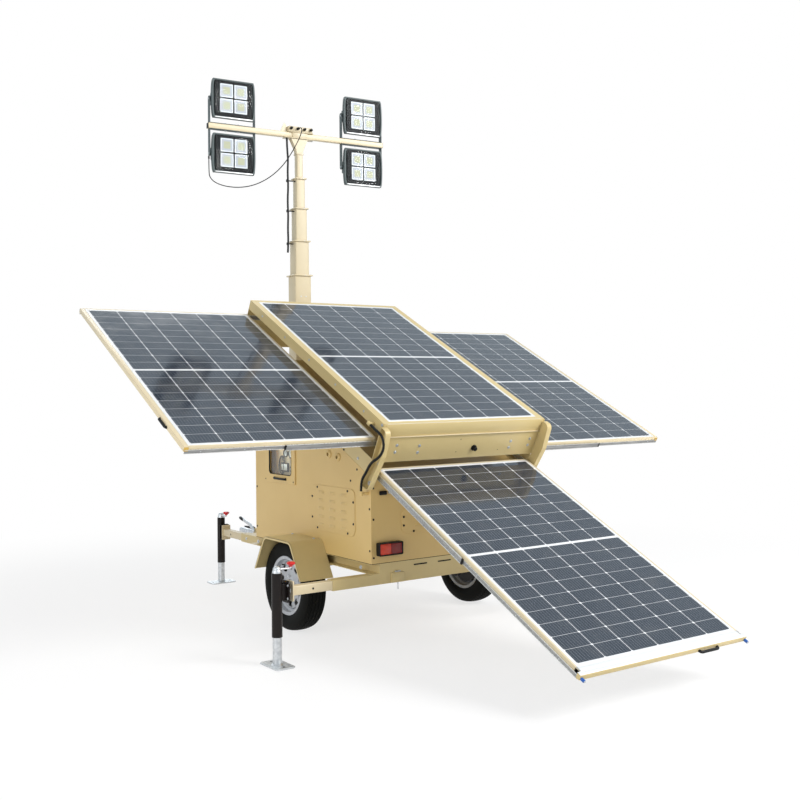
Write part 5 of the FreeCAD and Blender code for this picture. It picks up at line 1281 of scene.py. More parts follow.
@dataclass
class Floodlight:
    """A square floodlight: bowed bezel, black face with four reflectors, pane, finned back and its bracket."""

    name: str
    side: int
    above: int
    bar_z: float = 3.396
    wide: float = 0.336
    high: float = 0.284
    face: float = -0.044
    rim: float = 0.034
    x_off: float = 0.535
    z_off: float = 0.198
    fin_count: int = 19

    def centre(self) -> tuple[float, float]:
        """The pivot's place along the bar and its height."""
        return self.side * self.x_off, self.bar_z + self.above * self.z_off

    def place(self, points: Array) -> Array:
        """Moves points from the pivot's own directions to the lamp's place on the mast."""
        x0, z0 = self.centre()
        return MAST(points + np.array([x0, 0.0, z0]))

    def outline(self, draw: float) -> Array:
        """A rectangle whose sides bow out: half width less a bow times the height's share squared."""
        t = np.linspace(-1, 1, 15)
        half_w, half_h = self.wide / 2 - draw, self.high / 2 - draw
        corner = np.abs(t) > 0.99
        bow = 0.009 * np.abs(t) ** 2.4 + 0.004 * corner
        right = np.stack([half_w - bow, t * half_h - np.sign(t) * 0.004 * ~corner * (np.abs(t) > 0.9)], -1)
        s = np.linspace(1, -1, 9)[1:-1]
        side = np.concatenate([right, np.stack([s * (half_w - 0.02), np.full(7, half_h)], -1)])
        return np.concatenate([side, -side])

    def build(self) -> None:
        """The lamp on its own CAD body: shell, black face, silver strip, reflectors, fins, pivots and pane."""
        piece = Piece("floodlight_" + self.name + "_lamp", self.place)
        face, rim = self.face, self.rim
        rows = []
        for draw, y in ((0.012, 0.012), (0.011, 0.001), (0.01, 0.0), (0.002, 0.0), (0.0, 0.003),
                        (0.0, rim - 0.006), (0.004, rim), (0.026, rim + 0.01), (0.03, rim + 0.028),
                        (0.04, rim + 0.03)):
            loop = self.outline(draw)
            rows.append(spread(loop[:, 0], loop[:, 1], np.array(face + y), 1))
        piece.add(HOUSING, loft(np.array(rows)))
        w, h = self.wide / 2 - 0.024, self.high / 2 - 0.013
        low = -self.high / 2
        piece.add(BEZEL, slab(oblong((-w, -h), (w, h), 0.003, 3), face + 0.0016, 0.0098, 1, 0.0005))
        piece.add(FRAME, block((-w, face - 0.0004, low + 0.002), (w, face + 0.004, low + 0.0105), 0.001))
        self.reflectors(piece)
        self.fins(piece)
        leg = self.wide / 2 + 0.004
        for s in (-1, 1):
            piece.add(PLASTIC, peg((s * (leg - 0.008), 0, 0), 0, s * 0.0078, 0.02, 24))
            piece.add(ZINC, peg((s * leg, 0, 0), 0, s * 0.0068, 0.0069, 6))
            piece.add(HOUSING, block((s * 0.15 - 0.008, face + 0.01, -0.045), (s * 0.15 + 0.008, 0.024, 0.045),
                                     0.004))
        piece.add(LAMP_PANE, block((-w, face - 0.0002, -h), (w, face + 0.0004, h), 0.0002))
        piece.build("floodlight_" + self.name, "dark_housing", ["floodlight_" + self.name])

    def reflectors(self, piece: Piece) -> None:
        """Four stepped squares each: a white rim, a greyer well of painted shade for the reflector's sloped
        walls, and a pale yellow emitter.
        """
        off = 0.0545
        for cx, cz in ((i * off, 0.006 + k * off) for i in (-1, 1) for k in (-1, 1)):
            for size, deep, finish in ((0.049, 0.0012, REFLECTOR), (0.041, 0.001, REFLECTOR_SHADED),
                                       (0.026, 0.0008, EMITTER)):
                plate = oblong((cx - size, cz - size), (cx + size, cz + size), 0.004, 3)
                piece.add(finish, slab(plate, self.face + deep, 0.003, 1, 0.0002))

    def fins(self, piece: Piece) -> None:
        """Thin upright fins whose back edge is an arc, lower at top and bottom."""
        t = np.linspace(-1, 1, 9)
        root, high, thick = self.face + self.rim + 0.006, 0.118, 0.0028
        back = np.stack([self.face + 0.104 - 0.02 * t ** 2, t * high], -1)
        outline = np.concatenate([back, [(root, high), (root, -high)]])
        for x in np.linspace(-0.126, 0.126, self.fin_count):
            piece.add(HOUSING, slab(outline, x - thick / 2, thick, 0, 0.0006))
        piece.add(HOUSING, block((-0.06, self.face + 0.06, -0.055), (0.06, self.face + 0.098, 0.055), 0.004))


@dataclass
class Brackets:
    """Four U brackets of dark strip, bolted to the crossbar."""

    lamps: Sequence[Floodlight]
    leg_in: float = 0.172
    thick: float = 0.004
    half: float = 0.02

    def build(self) -> None:
        """Each bracket is one strip: base on the bar, and two legs with rounded ends that hold the pivots."""
        piece = Piece("floodlight_bracket_set", MAST)
        out = self.leg_in + self.thick
        for lamp in self.lamps:
            x0, z0 = lamp.centre()
            up = lamp.above
            seat = lamp.bar_z + up * self.half
            base = sorted((seat, seat + up * self.thick))
            piece.add(HOUSING, block((x0 - out, -self.half, base[0]), (x0 + out, self.half, base[1]), 0.001))
            turn = np.linspace(0, math.pi, 13)
            cap = np.stack([self.half * np.cos(turn), z0 + up * (0.001 + self.half * np.sin(turn))], -1)
            strip = np.concatenate([[(self.half, seat)], cap, [(-self.half, seat)]])[::up]
            for start in (x0 - out, x0 + self.leg_in):
                piece.add(HOUSING, slab(strip, start, self.thick, 0, 0.0008))
            for x in (-0.05, 0.05):
                piece.add(ZINC, *bolt((x0 + x, 0, seat + up * self.thick), (0, 0, up), 0.007, 0.006))
            if lamp.name == "lower_left":
                gland = (x0 - out - 0.002, 0, z0 - 0.043)
        piece.add(PLASTIC, peg(gland, 2, 0.022, 0.006, 14, 0.0015))
        piece.build("mast_head", "dark_housing", ["floodlight_brackets"])


@dataclass
class Cords:
    """The mast cable, one floodlight's lead and the tray's conduit."""

    head_z: float = 3.26
    low_lamp_z: float = 3.198

    def build(self) -> None:
        """Each cord on the route that the CAD tube follows."""
        top = self.head_z
        cable = MAST(np.array([
            (-0.103, -0.016, top + 0.11), (-0.103, -0.016, top + 0.062), (-0.098, -0.014, top - 0.002),
            (-0.093, -0.012, top - 0.06), (-0.097, -0.01, top - 0.15), (-0.093, -0.012, top - 0.25),
            (-0.098, -0.008, top - 0.36), (-0.094, -0.01, top - 0.47), (-0.099, -0.012, top - 0.57),
            (-0.093, -0.006, top - 0.665), (-0.097, -0.004, top - 0.75)]))
        low = self.low_lamp_z
        lead = MAST(np.array([
            (-0.713, 0, low - 0.043), (-0.713, 0, low - 0.12), (-0.708, 0.004, low - 0.172),
            (-0.67, 0.01, low - 0.205), (-0.608, 0.02, low - 0.222), (-0.538, 0.026, low - 0.228),
            (-0.465, 0.02, low - 0.226), (-0.39, 0.004, low - 0.212), (-0.32, -0.014, low - 0.184),
            (-0.255, -0.032, low - 0.144), (-0.195, -0.05, low - 0.092), (-0.142, -0.066, low - 0.03),
            (-0.098, -0.08, low + 0.04), (-0.062, -0.1, low + 0.112), (-0.03, -0.126, low + 0.196),
            (-0.02, -0.1, low + 0.244), (-0.02, -0.058, low + 0.244)]))
        self.lay("mast_cable_line", cable, 0.0075, "mast_head", ["head_cables"])
        self.lay("lamp_lead_line", lead, 0.0035, "mast_head", [])
        x = -0.648
        end_u, end_n = -0.0534, -0.4324
        route = SLOPE(np.array([(x, 0.03, -0.045), (x, -0.04, -0.045), (x, -0.108, -0.048), (x, -0.146, -0.104),
                                (x, -0.124, -0.17), (x, -0.066, -0.236), (x, -0.05, -0.31),
                                (x, end_u + 0.06 * math.sin(TILT), end_n + 0.06 * math.cos(TILT)),
                                (x, end_u, end_n)]))
        self.conduit(route)

    def lay(self, name: str, points: Array, radius: float, body: str, nodes: Sequence[str]) -> None:
        """A plain round cord."""
        length = line_length(read_line(points))
        line = cord_line(name, points, radius)
        line.data.materials.append(CABLE.material())
        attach(line, body)
        if nodes:
            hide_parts(*nodes)
        tuple(points[0])
        log.info("%s: %.3f m", name, length)

    def conduit(self, points: Array) -> None:
        """A corrugated tube: its radius swells and shrinks along the line as a rounded wave."""
        path = read_line(points)
        step = np.concatenate([[0], np.cumsum(np.linalg.norm(np.diff(path, axis=0), axis=1))])
        fine = np.linspace(0, step[-1], 420)
        line = np.stack([np.interp(fine, step, path[:, k]) for k in range(3)], -1)
        wave = 0.0072 + 0.0008 * np.tanh(2.2 * np.sin(fine * 2 * math.pi / 0.0066))
        piece = Piece("tray_conduit")
        piece.add(PLASTIC, bent_bar(line, wave, 14))
        made = piece.build("trailer", "cable_black", ["conduit"])
        tuple(points[0])


@dataclass
class Cabinet:
    """The cabinet's trim over its CAD walls: louvre covers, window, board, lamps, latches and screws."""

    half: float = 0.6
    rear: float = -0.561
    front: float = 0.829
    low: float = 0.485
    louvre_y: float = -0.151
    louvre_low: float = 0.622
    louvre_wide: float = 0.49
    louvre_high: float = 0.278
    door_y: float = 0.49
    door_low: float = 0.875
    door_wide: float = 0.4
    door_high: float = 0.33

    def build(self) -> None:
        """All of the cabinet's pieces."""
        # the cabinet walls take the shaded copy of the sand paint: painted shade
        for node in ("cabinet_side_walls", "cabinet_end_walls", "cabinet_roof", "cabinet_floor"):
            dress(node, WALL_SAND_SHADED)
        dress("battery_bank", PLASTIC)
        self.louvres()
        self.window()
        self.board()
        self.lamps()
        self.fittings()

    def hood(self, centre: float, level: float, wide: float, high: float, out: float) -> Array:
        """A pressed louvre in cover coordinates: half an ellipse across, deepest at its open lower lip."""
        s = np.linspace(-1, 1, 13)[:, None]
        t = np.linspace(0, 1, 7)[None, :]
        depth = out * np.sqrt(np.clip(1 - s ** 4, 0, 1)) * np.sin(t * math.pi / 2 + 0.001)
        z = level + high / 2 - high * t
        y = centre + wide / 2 * s * (1 - 0.06 * (1 - t))
        return np.stack(np.broadcast_arrays(y, z, depth), -1)

    def louvre_cover(self, piece: Piece, low: Point, high: Point, axis: int, face: float, out: int,
                     spots: Sequence[tuple[float, float]], screws: Sequence[tuple[float, float]]) -> None:
        """One cover: a thin plate with round corners, its pressed louvres with black faces across their open
        slots as painted shade, and its screws.

        Args:
            piece: the piece that takes it.
            low: lowest corner in the cover's plane.
            high: highest corner in the cover's plane.
            axis: the axis that it faces along.
            face: where the wall's face lies.
            out: 1 or -1, outwards.
            spots: middles of the louvres.
            screws: middles of the screws.
        """
        start = face if out > 0 else face - 0.004
        piece.add(WALL_SAND_SHADED, slab(oblong(low, high, 0.04, 8), start, 0.004, axis, 0.0012))
        outside = face + out * 0.004
        for y, z in spots:
            shape = self.hood(y, z, 0.068, 0.016, 0.0075)
            rows, columns = shape.shape[:2]
            count = rows * columns
            front, back = (spread(shape[..., 0], shape[..., 1], outside + out * depth, axis).reshape(-1, 3)
                           for depth in (shape[..., 2] + 0.0002, np.full((rows, columns), 0.0001)))
            both = np.concatenate([front, back])
            edge = np.arange(1, rows + 1) * columns - 1
            lip = np.stack([edge[:-1], edge[1:], edge[1:] + count, edge[:-1] + count], -1)
            piece.add(WALL_SAND_SHADED, Surface(both, grid_faces(rows, columns, False, False).tolist()))
            # black faces across each louvre's open lower lip: painted shade in the slot
            piece.add(PLASTIC, Surface(both, lip.tolist()))
        for y, z in screws:
            spot = spread(np.array(y), np.array(z), np.array(outside), axis)
            piece.add(PLASTIC, peg(tuple(spot), axis, out * 0.0028, 0.0072, 12, 0.001))

    def louvres(self) -> None:
        """The two side covers and the rear one."""
        piece = Piece("louvre_cover_set")
        y0, y1 = self.louvre_y - self.louvre_wide / 2, self.louvre_y + self.louvre_wide / 2
        z0, z1 = self.louvre_low, self.louvre_low + self.louvre_high
        spots = [(self.louvre_y + 0.128 * c, z0 + 0.039 + 0.05 * r) for c in (-1, 0, 1) for r in range(5)]
        screws = [(y, z) for dy, dz in ((0.014, 0.075), (0.075, 0.014)) for y in (y0 + dy, y1 - dy)
                  for z in (z0 + dz, z1 - dz)]
        for s in (-1, 1):
            self.louvre_cover(piece, (y0, z0), (y1, z1), 0, s * self.half, s, spots, screws)
        rows = [(0.128 * c, 0.715 + 0.05 * (r - 0.5)) for c in (-2, -1, 0, 1, 2) for r in range(2)]
        marks = [(x, z) for xs, zs in (((-0.372, 0.372), (0.69, 0.74)), ((-0.3, 0, 0.3), (0.652, 0.778)))
                 for x in xs for z in zs]
        self.louvre_cover(piece, (-0.388, 0.64), (0.388, 0.79), 1, self.rear, -1, rows, marks)
        piece.build("trailer", "sand_paint", ["louvre_covers"])

    def window(self) -> None:
        """A top-hung door: plate with a rounded opening, rubber lip, pull, barrel and screws; and its pane."""
        piece = Piece("control_window_door")
        low = np.array([self.door_y - self.door_wide / 2, self.door_low])
        high = low + (self.door_wide, self.door_high)
        pane_low = np.array([self.door_y - 0.1555, self.door_low + 0.055])
        pane_high = pane_low + (0.295, 0.24)
        back = -self.half - 0.0003
        face = back - 0.008
        hole = oblong(pane_low, pane_high, 0.025, 6)
        piece.add(WALL_SAND_SHADED, framed(oblong(low, high, 0.008, 6), hole, face, 0.008, 0, 0.0015))
        lip = oblong(pane_low + 0.004, pane_high - 0.004, 0.021, 6)
        piece.add(PLASTIC, framed(hole, lip, back - 0.0088, 0.0086, 0, 0.0006))
        pull_y, pull_z, reach = pane_low[0] + 0.145, low[1] + 0.03, 0.074
        turn = np.linspace(0, math.pi, 15)
        line = np.stack([face - 0.013 * np.sin(turn) ** 0.5, pull_y - reach * np.cos(turn),
                         np.full(15, pull_z)], -1)
        piece.add(PLASTIC, bent_bar(line, 0.007, 12))
        for y in (pull_y - reach, pull_y + reach):
            piece.add(PLASTIC, peg((face, y, pull_z), 0, -0.0025, 0.01, 16))
        for z in (low[1] + 0.018, high[1] - 0.02):
            for y in (low[0] + 0.018, high[0] - 0.018):
                piece.add(PLASTIC, peg((face, y, z), 0, -0.0018, 0.005))
        x, y0, y1, z = -self.half - 0.0063, low[0] + 0.071, high[0] - 0.071, high[1] + 0.007
        piece.add(WALL_SAND_SHADED, bar((x, y0, z), (x, y1, z), 0.006, 18),
                  block((x - 0.002, y0, high[1] - 0.001), (x + 0.004, y1, z), 0.0008))
        piece.build("control_door", "sand_paint", ["control_door"])
        glass = Piece("control_window_pane")
        glass.add(PANE, slab(oblong(pane_low - 0.012, pane_high + 0.012, 0.025, 6), back, 0.004, 0, 0.0006))
        glass.build("control_door", "window_glass", ["control_pane"])

    def board(self) -> None:
        """The board behind the window: dials with bezels, breakers, a blank card and a looped flex."""
        piece = Piece("control_board_set")
        x, y0, z0 = -0.52, self.door_y, self.door_low
        # board paint brightened for the dim light inside the cabinet: partly painted light
        piece.add(BOARD_LIT, block((x, y0 - 0.21, z0 - 0.02), (x + 0.012, y0 + 0.21, z0 + 0.36), 0.002))
        for z in (-0.01, 0.348):
            for y in (-0.196, 0.196):
                piece.add(ZINC, peg((-0.58, y0 + y, z0 + z), 0, 0.06, 0.008, 14))
        for y, r in ((-0.09, 0.034), (-0.015, 0.034), (0.06, 0.026)):
            c = (x, y0 + y, z0 + 0.19)
            bezel = ((-0.0002, r), (-0.01, r), (-0.01, r - 0.003), (-0.004, r - 0.005), (-0.0002, r - 0.005))
            piece.add(PLASTIC, lathe(bezel, c, 0, 32))
            piece.add(DIAL, peg((x - 0.0002, c[1], c[2]), 0, -0.0028, r - 0.0045, 32, 0.0003))
            piece.add(PLASTIC, block((x - 0.0045, c[1] - 0.001, c[2] - 0.004),
                                     (x - 0.0035, c[1] + 0.001, c[2] + r * 0.7), 0.0003))
        for y, z, w, h in ((-0.11, 0.07, 0.04, 0.034), (-0.05, 0.07, 0.04, 0.034), (0.02, 0.066, 0.09, 0.06)):
            y, z = y0 + y, z0 + z
            piece.add(PLASTIC, block((x - 0.014, y, z), (x, y + w, z + h), 0.002))
            piece.add(DIAL, block((x - 0.015, y + 0.008, z + 0.01), (x - 0.0138, y + w - 0.008, z + h - 0.008),
                                  0.0005))
        piece.add(DIAL, block((x - 0.0012, y0 - 0.06, z0 + 0.245), (x, y0 + 0.06, z0 + 0.285), 0.0004))
        turn = np.linspace(0, 4 * math.pi, 60)
        line = np.stack([x - 0.01 - 0.004 * np.sin(turn * 0.5),
                         y0 + 0.105 + 0.03 * np.cos(turn) * (1 + 0.02 * turn),
                         z0 + 0.11 + 0.055 * np.sin(turn) * (1 + 0.01 * turn)], -1)
        piece.add(CABLE, bent_bar(line, 0.0035, 10))
        piece.build("trailer", "panel_grey", ["control_board"])

    def lamps(self) -> None:
        """Each tail lamp: black base and surround, orange-red outer half and dark red inner half."""
        piece = Piece("tail_lamp_pair")
        for s in (-1, 1):
            c = s * 0.483
            outer = oblong((c - 0.085, 0.53), (c + 0.085, 0.606), 0.008, 5)
            inner = oblong((c - 0.078, 0.537), (c + 0.078, 0.599), 0.005, 5)
            piece.add(PLASTIC, framed(outer, inner, self.rear - 0.035, 0.035, 1, 0.002))
            for way, lens in ((s, AMBER_LENS), (-s, RED_LENS)):
                lo, hi = sorted((c, c + way * 0.0775))
                piece.add(lens, block((lo, self.rear - 0.033, 0.5375), (hi, self.rear - 0.001, 0.5985), 0.003))
        piece.build("trailer", "lamp_red", ["tail_lamps"])

    def fittings(self) -> None:
        """Edge screws, the eye fittings, the rear catches, corner screws and the seam's shadow on the walls."""
        piece = Piece("cabinet_fittings")
        for s in (-1, 1):
            x = s * self.half
            for y, z in ((-0.545, 0.56), (-0.545, 0.8), (0.812, 0.56), (0.812, 0.83), (-0.42, 1.02),
                         (-0.28, 1.13), (0.812, 1.15), (0.812, 1.45), (0.1, 1.255), (-0.35, 0.95)):
                piece.add(PLASTIC, peg((x, y, z), 0, s * 0.0026, 0.0068, 12, 0.001))
            eye = ((0.0, 0.026), (0.004, 0.026), (0.01, 0.02), (0.012, 0.012), (0.004, 0.01), (0.0, 0.01))
            for y, z in ((-0.113, 1.095), (-0.214, 1.082)):
                piece.add(WALL_SAND_SHADED, lathe([(s * a, b) for a, b in eye], (x, y, z), 0, 28))
                piece.add(PLASTIC, peg((x, y, z), 0, s * 0.004, 0.0105, 18))
        z = 0.89
        for x in (-0.52, 0.52):
            piece.add(PLASTIC, brick((x, self.rear - 0.007, z), (0.05, 0.014, 0.024), 0.005))
            piece.add(ZINC, peg((x + 0.045, self.rear, z), 1, -0.01, 0.007))
        for x in (-0.585, 0.585):
            for z in (0.52, 0.74, 0.92):
                piece.add(PLASTIC, peg((x, self.rear, z), 1, -0.0026, 0.0065, 12, 0.001))
        seam, low, high = 0.0006, 0.4835, 0.4865
        piece.add(SHADOW, block((-self.half, self.rear - seam, low), (self.half, self.rear + 0.001, high),
                                0.0002))
        for s in (-1, 1):
            a, b = sorted((s * self.half, s * (self.half + seam)))
            piece.add(SHADOW, block((a, self.rear, low), (b, self.front, high), 0.0002))
        piece.build("trailer", "black_paint")


@dataclass
class Chassis:
    """Frame, drawbar, axle, coupling, brake lever and mudguards."""

    arch_y: float = AXLE_Y

    def build(self) -> None:
        """CAD members keep their shape; guards, coupling and lever are made anew."""
        dress("chassis_frame", SAND)
        dress("drawbar", SAND)
        dress("axle", BLACK)
        self.frame_trim()
        self.coupling()
        self.mudguards()

    def frame_trim(self) -> None:
        """Rear slots, the locking brackets with their pins, and frame bolts."""
        piece = Piece("frame_fittings")
        rear = -0.561
        # thin black plates stand for the rear slots: painted shade
        for x in (-0.3, -0.12, 0.06, 0.24):
            outline = oblong((x, 0.45), (x + 0.1, 0.458), 0.004, 4)
            piece.add(PLASTIC, slab(outline, rear - 0.0008, 0.0008, 1, 0.0002))
        for s in (-1, 1):
            x, y = s * 0.42, rear - 0.005
            piece.add(SAND, brick((x, rear - 0.005, 0.395), (0.09, 0.01, 0.058), 0.002))
            piece.add(ZINC, peg((x, y, 0.42), 2, -0.094, 0.004), peg((x - 0.02, y, 0.43), 0, 0.04, 0.004))
            for x, z, places, radius, high in ((0.6, 0.455, (-0.45, 0.6, 0.8), 0.008, 0.006),
                                               (0.415, 0.395, (0.72, 1.1, 1.33), 0.007, 0.005)):
                for y in places:
                    piece.add(ZINC, *bolt((s * x, y, z), (s, 0, 0), radius, high))
        for y in (1.136, 1.336):
            for x in (-0.1, 0.1):
                piece.add(ZINC, *bolt((x, y, 0.437), (0, 0, 1), 0.009, 0.007))
        piece.build("trailer", "zinc")

    def coupling(self) -> None:
        """A coupling head whose outline bellies round the ball, with its latch lever; and the brake lever."""
        piece = Piece("coupling_set")
        rows = []
        for spot, half, low, high in (
                (1.925, 0.033, 0.302, 0.358), (1.965, 0.033, 0.302, 0.358), (2.02, 0.034, 0.302, 0.357),
                (2.08, 0.038, 0.302, 0.357), (2.12, 0.042, 0.302, 0.359), (2.16, 0.041, 0.302, 0.357),
                (2.185, 0.034, 0.303, 0.35), (2.199, 0.02, 0.306, 0.342)):
            loop = oblong((-half, low), (half, high), min(0.014, half * 0.8), 5)
            rows.append(spread(loop[:, 0], loop[:, 1], np.array(spot), 1))
        piece.add(ZINC, loft(np.array(rows)), block((-0.029, 1.836, 0.301), (0.029, 1.926, 0.359), 0.002))
        lever = softened([(1.985, 0.359), (2.1454, 0.359), (2.1584, 0.366), (2.02, 0.3765), (1.985, 0.372)],
                         0.004, 3)
        piece.add(BLACK, slab(lever, -0.009, 0.018, 0, 0.002))
        for z in (0.315, 0.345):
            for s, y in ((1, 1.9), (-1, 1.88)):
                piece.add(ZINC, *bolt((s * 0.035, y, z), (s, 0, 0), 0.006, 0.005))
        piece.build("trailer", "zinc", ["coupling_head"])
        brake = Piece("brake_lever")
        brake.add(SAND, block((-0.043, 1.875, 0.32), (-0.035, 1.925, 0.377), 0.0015))
        arm = softened([(1.885, 0.357), (1.907, 0.343), (1.975, 0.387), (2.145, 0.427), (2.14, 0.453),
                        (1.96, 0.411)], (0.01, 0.01, 0.02, 0.012, 0.012, 0.03), 6)
        brake.add(ZINC, slab(arm, -0.0565, 0.0135, 0, 0.004))
        line = [(-0.05, 2.085, 0.4265), (-0.05, 2.1, 0.43), (-0.05, 2.125, 0.436), (-0.05, 2.138, 0.4388)]
        brake.add(PLASTIC, bent_bar(line, np.array([0.0135, 0.0142, 0.0142, 0.012]) * 0.95, 16))
        brake.build("trailer", "zinc", ["handbrake_lever"])

    def arch(self, draw: float) -> Array:
        """The guard's line drawn in, from one foot over the top to the other."""
        a = math.radians(60.4)
        run, lean, foot, top = draw / math.sin(a), draw / math.tan(a) * 0.5, 0.35, 0.57 - draw
        near, far = self.arch_y - 0.29 + run, self.arch_y + 0.29 - run
        knee, hip = self.arch_y - 0.165 + run - lean, self.arch_y + 0.165 - run + lean
        return softened([(near, foot), (knee, top), (hip, top), (far, foot)],
                        (0, 0.057 - draw, 0.057 - draw, 0), 10)

    def mudguards(self) -> None:
        """Bent sheet over each wheel, with a turned-down outer lip and bolts on top."""
        piece = Piece("mudguard_pair")
        outer = self.arch(0.0)
        sheet, lip = (np.concatenate([outer, self.arch(draw)[::-1]]) for draw in (0.0035, 0.014))
        for s in (-1, 1):
            x0, x1 = sorted((s * 0.6, s * 0.83))
            piece.add(SAND, slab(sheet, x0, x1 - x0, 0, 0.0008),
                      slab(lip, x1 - 0.003 if s > 0 else x0, 0.003, 0, 0.0008))
            for y in (self.arch_y - 0.13, self.arch_y + 0.13):
                piece.add(ZINC, *bolt((s * 0.64, y, 0.57), (0, 0, 1), 0.006, 0.004))
        piece.build("trailer", "sand_paint", ["mudguards"])


@dataclass
class Wheel:
    """A road wheel: grooved tyre on a slotted steel rim with hub cap and studs."""

    side: Side
    y: float = AXLE_Y
    z: float = 0.277
    x: float = 0.702
    rad: float = 0.277
    half: float = 0.075

    def build(self) -> None:
        """Tyre and rim on the wheel's own body."""
        self.tyre()
        self.rim()

    def tyre(self) -> None:
        """Radius is the crown's curve less grooves, slits and shoulder notches, with ribs on the walls."""
        profile = np.array([(-0.0557, 0.1659), (-0.0587, 0.1824), (-0.064, 0.1836), (-0.07, 0.193),
                            (-0.0745, 0.212), (-0.075, 0.226), (-0.0735, 0.243), (-0.069, 0.257),
                            (-0.063, 0.266)])
        crown_x = np.linspace(-0.06, 0.06, 61)
        crown = self.rad - 0.0085 * (np.abs(crown_x) / 0.062) ** 2.6
        half = np.concatenate([profile, np.stack([crown_x, crown], -1), (profile * (-1, 1))[::-1]])
        angle = np.linspace(0, 2 * math.pi, 288, endpoint=False)[None, :]
        off, rad = half[:, :1], half[:, 1:]
        x, r = np.broadcast_arrays(off, rad + 0 * angle)
        row = np.arange(len(half))[:, None]
        tread = (row >= len(profile)) & (row < len(profile) + len(crown))
        groove = np.zeros_like(r)
        for line in (-0.034, -0.0115, 0.0115, 0.034):
            wave = line + 0.0012 * np.sin(angle * 48)
            groove = np.maximum(groove, np.clip(1.6 - np.abs(off - wave) / 0.0022, 0, 1))
        turn = angle * 36 / math.pi
        slit = (np.abs((turn + np.abs(off) * 60) % 1 - 0.5) < 0.11) & (np.abs(off) > 0.036)
        slit |= (np.abs((turn + 0.5 + off * 25) % 1 - 0.5) < 0.09) & (np.abs(off) < 0.03)
        r = r - np.where(tread, np.maximum(groove * 0.006, slit * 0.0035), 0.0)
        r = r + np.where(~tread & (rad > 0.19) & (rad < 0.262), 0.0006 * np.sin(rad * 900), 0.0)
        points = np.stack([self.side.value * self.x + x, self.y + r * np.cos(angle),
                           self.z + r * np.sin(angle)], -1)
        side = self.side.name.lower()
        piece = Piece("tyre_%s_tread" % side)
        piece.add(TYRE, loft(points, caps=False, ring=True))
        piece.build("wheel_" + side, "tyre_rubber", ["tyre_" + side], 28)

    def rim(self) -> None:
        """Rolled barrel, dished disc on a polar grid with slots left open, hub cap and studs."""
        s = self.side.value
        c = (s * self.x, self.y, self.z)
        piece = Piece("rim_" + self.side.name.lower())
        barrel = [(-0.063, 0.1805), (-0.0605, 0.182), (-0.0585, 0.1815), (-0.0562, 0.1655), (-0.03, 0.164),
                  (-0.02, 0.152), (0.02, 0.152), (0.035, 0.164), (0.0562, 0.1655), (0.0585, 0.1815),
                  (0.0605, 0.182), (0.063, 0.1805), (0.0625, 0.177), (0.0595, 0.1625), (0.036, 0.161),
                  (0.021, 0.149), (-0.021, 0.149), (-0.031, 0.161), (-0.0595, 0.1625), (-0.0625, 0.177)]
        piece.add(SILVER, lathe(barrel, c, 0, 96))
        radii = np.concatenate([np.linspace(0.03, 0.088, 10), np.linspace(0.094, 0.138, 9), [0.1475, 0.1495]])
        dish = np.interp(radii, (0.03, 0.06, 0.075, 0.092, 0.115, 0.14, 0.1495),
                         (0.034, 0.034, 0.026, 0.024, 0.036, 0.03, 0.016)) * s
        steps = 120
        angle = np.linspace(0, 2 * math.pi, steps, endpoint=False)
        around = radii[:, None] * np.cos(angle), radii[:, None] * np.sin(angle)
        front = spread(*around, dish[:, None], 0) + np.array(c)
        back = front - np.array([s * 0.0035, 0, 0])
        rows = len(radii)
        keep = np.ones((rows - 1, steps), bool)
        phase = np.arange(steps) % 12
        keep[11:17, :] = ~((phase >= 3) & (phase <= 8))[None, :]
        keep[10, :] = ~((phase >= 4) & (phase <= 7))
        both = np.concatenate([front.reshape(-1, 3), back.reshape(-1, 3)])
        n = rows * steps
        quads = grid_faces(rows, steps).reshape(rows - 1, steps, 4)
        kept = quads[keep]
        a, b = kept.ravel(), np.roll(kept, -1, 1).ravel()
        bare = ~np.isin(a * n + b, b * n + a)
        a, b = a[bare], b[bare]
        faces = np.concatenate([kept, kept[:, ::-1] + n, np.stack([b, a, a + n, b + n], -1)]).tolist()
        piece.add(SILVER, Surface(both, faces))
        cap = ((0.01, 0.0405), (0.03, 0.0405), (0.036, 0.036), (0.046, 0.034), (0.0475, 0.03), (0.0478, 0.001),
               (0.01, 0.001))
        hub = ((-0.018, 0.0252), (0.012, 0.0252), (0.012, 0.042), (-0.018, 0.042))
        drum = ((-0.034, 0.044), (0.008, 0.044), (0.01, 0.135), (0.008, 0.138), (-0.034, 0.138))
        for finish, profile, around in ((ZINC, cap, 48), (SILVER, hub, 48), (BLACK, drum, 64)):
            piece.add(finish, lathe([(a * s, b) for a, b in profile], c, 0, around))
        for a in np.arange(5) * 2 * math.pi / 5 + 0.3:
            spot = (s * (self.x + 0.034), self.y + 0.056 * math.cos(a), self.z + 0.056 * math.sin(a))
            piece.add(ZINC, peg(spot, 0, s * 0.01, 0.0085, 6), peg(spot, 0, s * 0.015, 0.005))
        y, z = self.y + 0.128 * math.cos(1.1), self.z + 0.128 * math.sin(1.1)
        valve = (s * (self.x + 0.03), y, z), (s * (self.x + 0.056), y + 0.004, z + 0.008)
        piece.add(PLASTIC, bar(*valve, 0.004, 10))
        name = "wheel_" + self.side.name.lower()
        piece.build(name, "wheel_silver", [name])


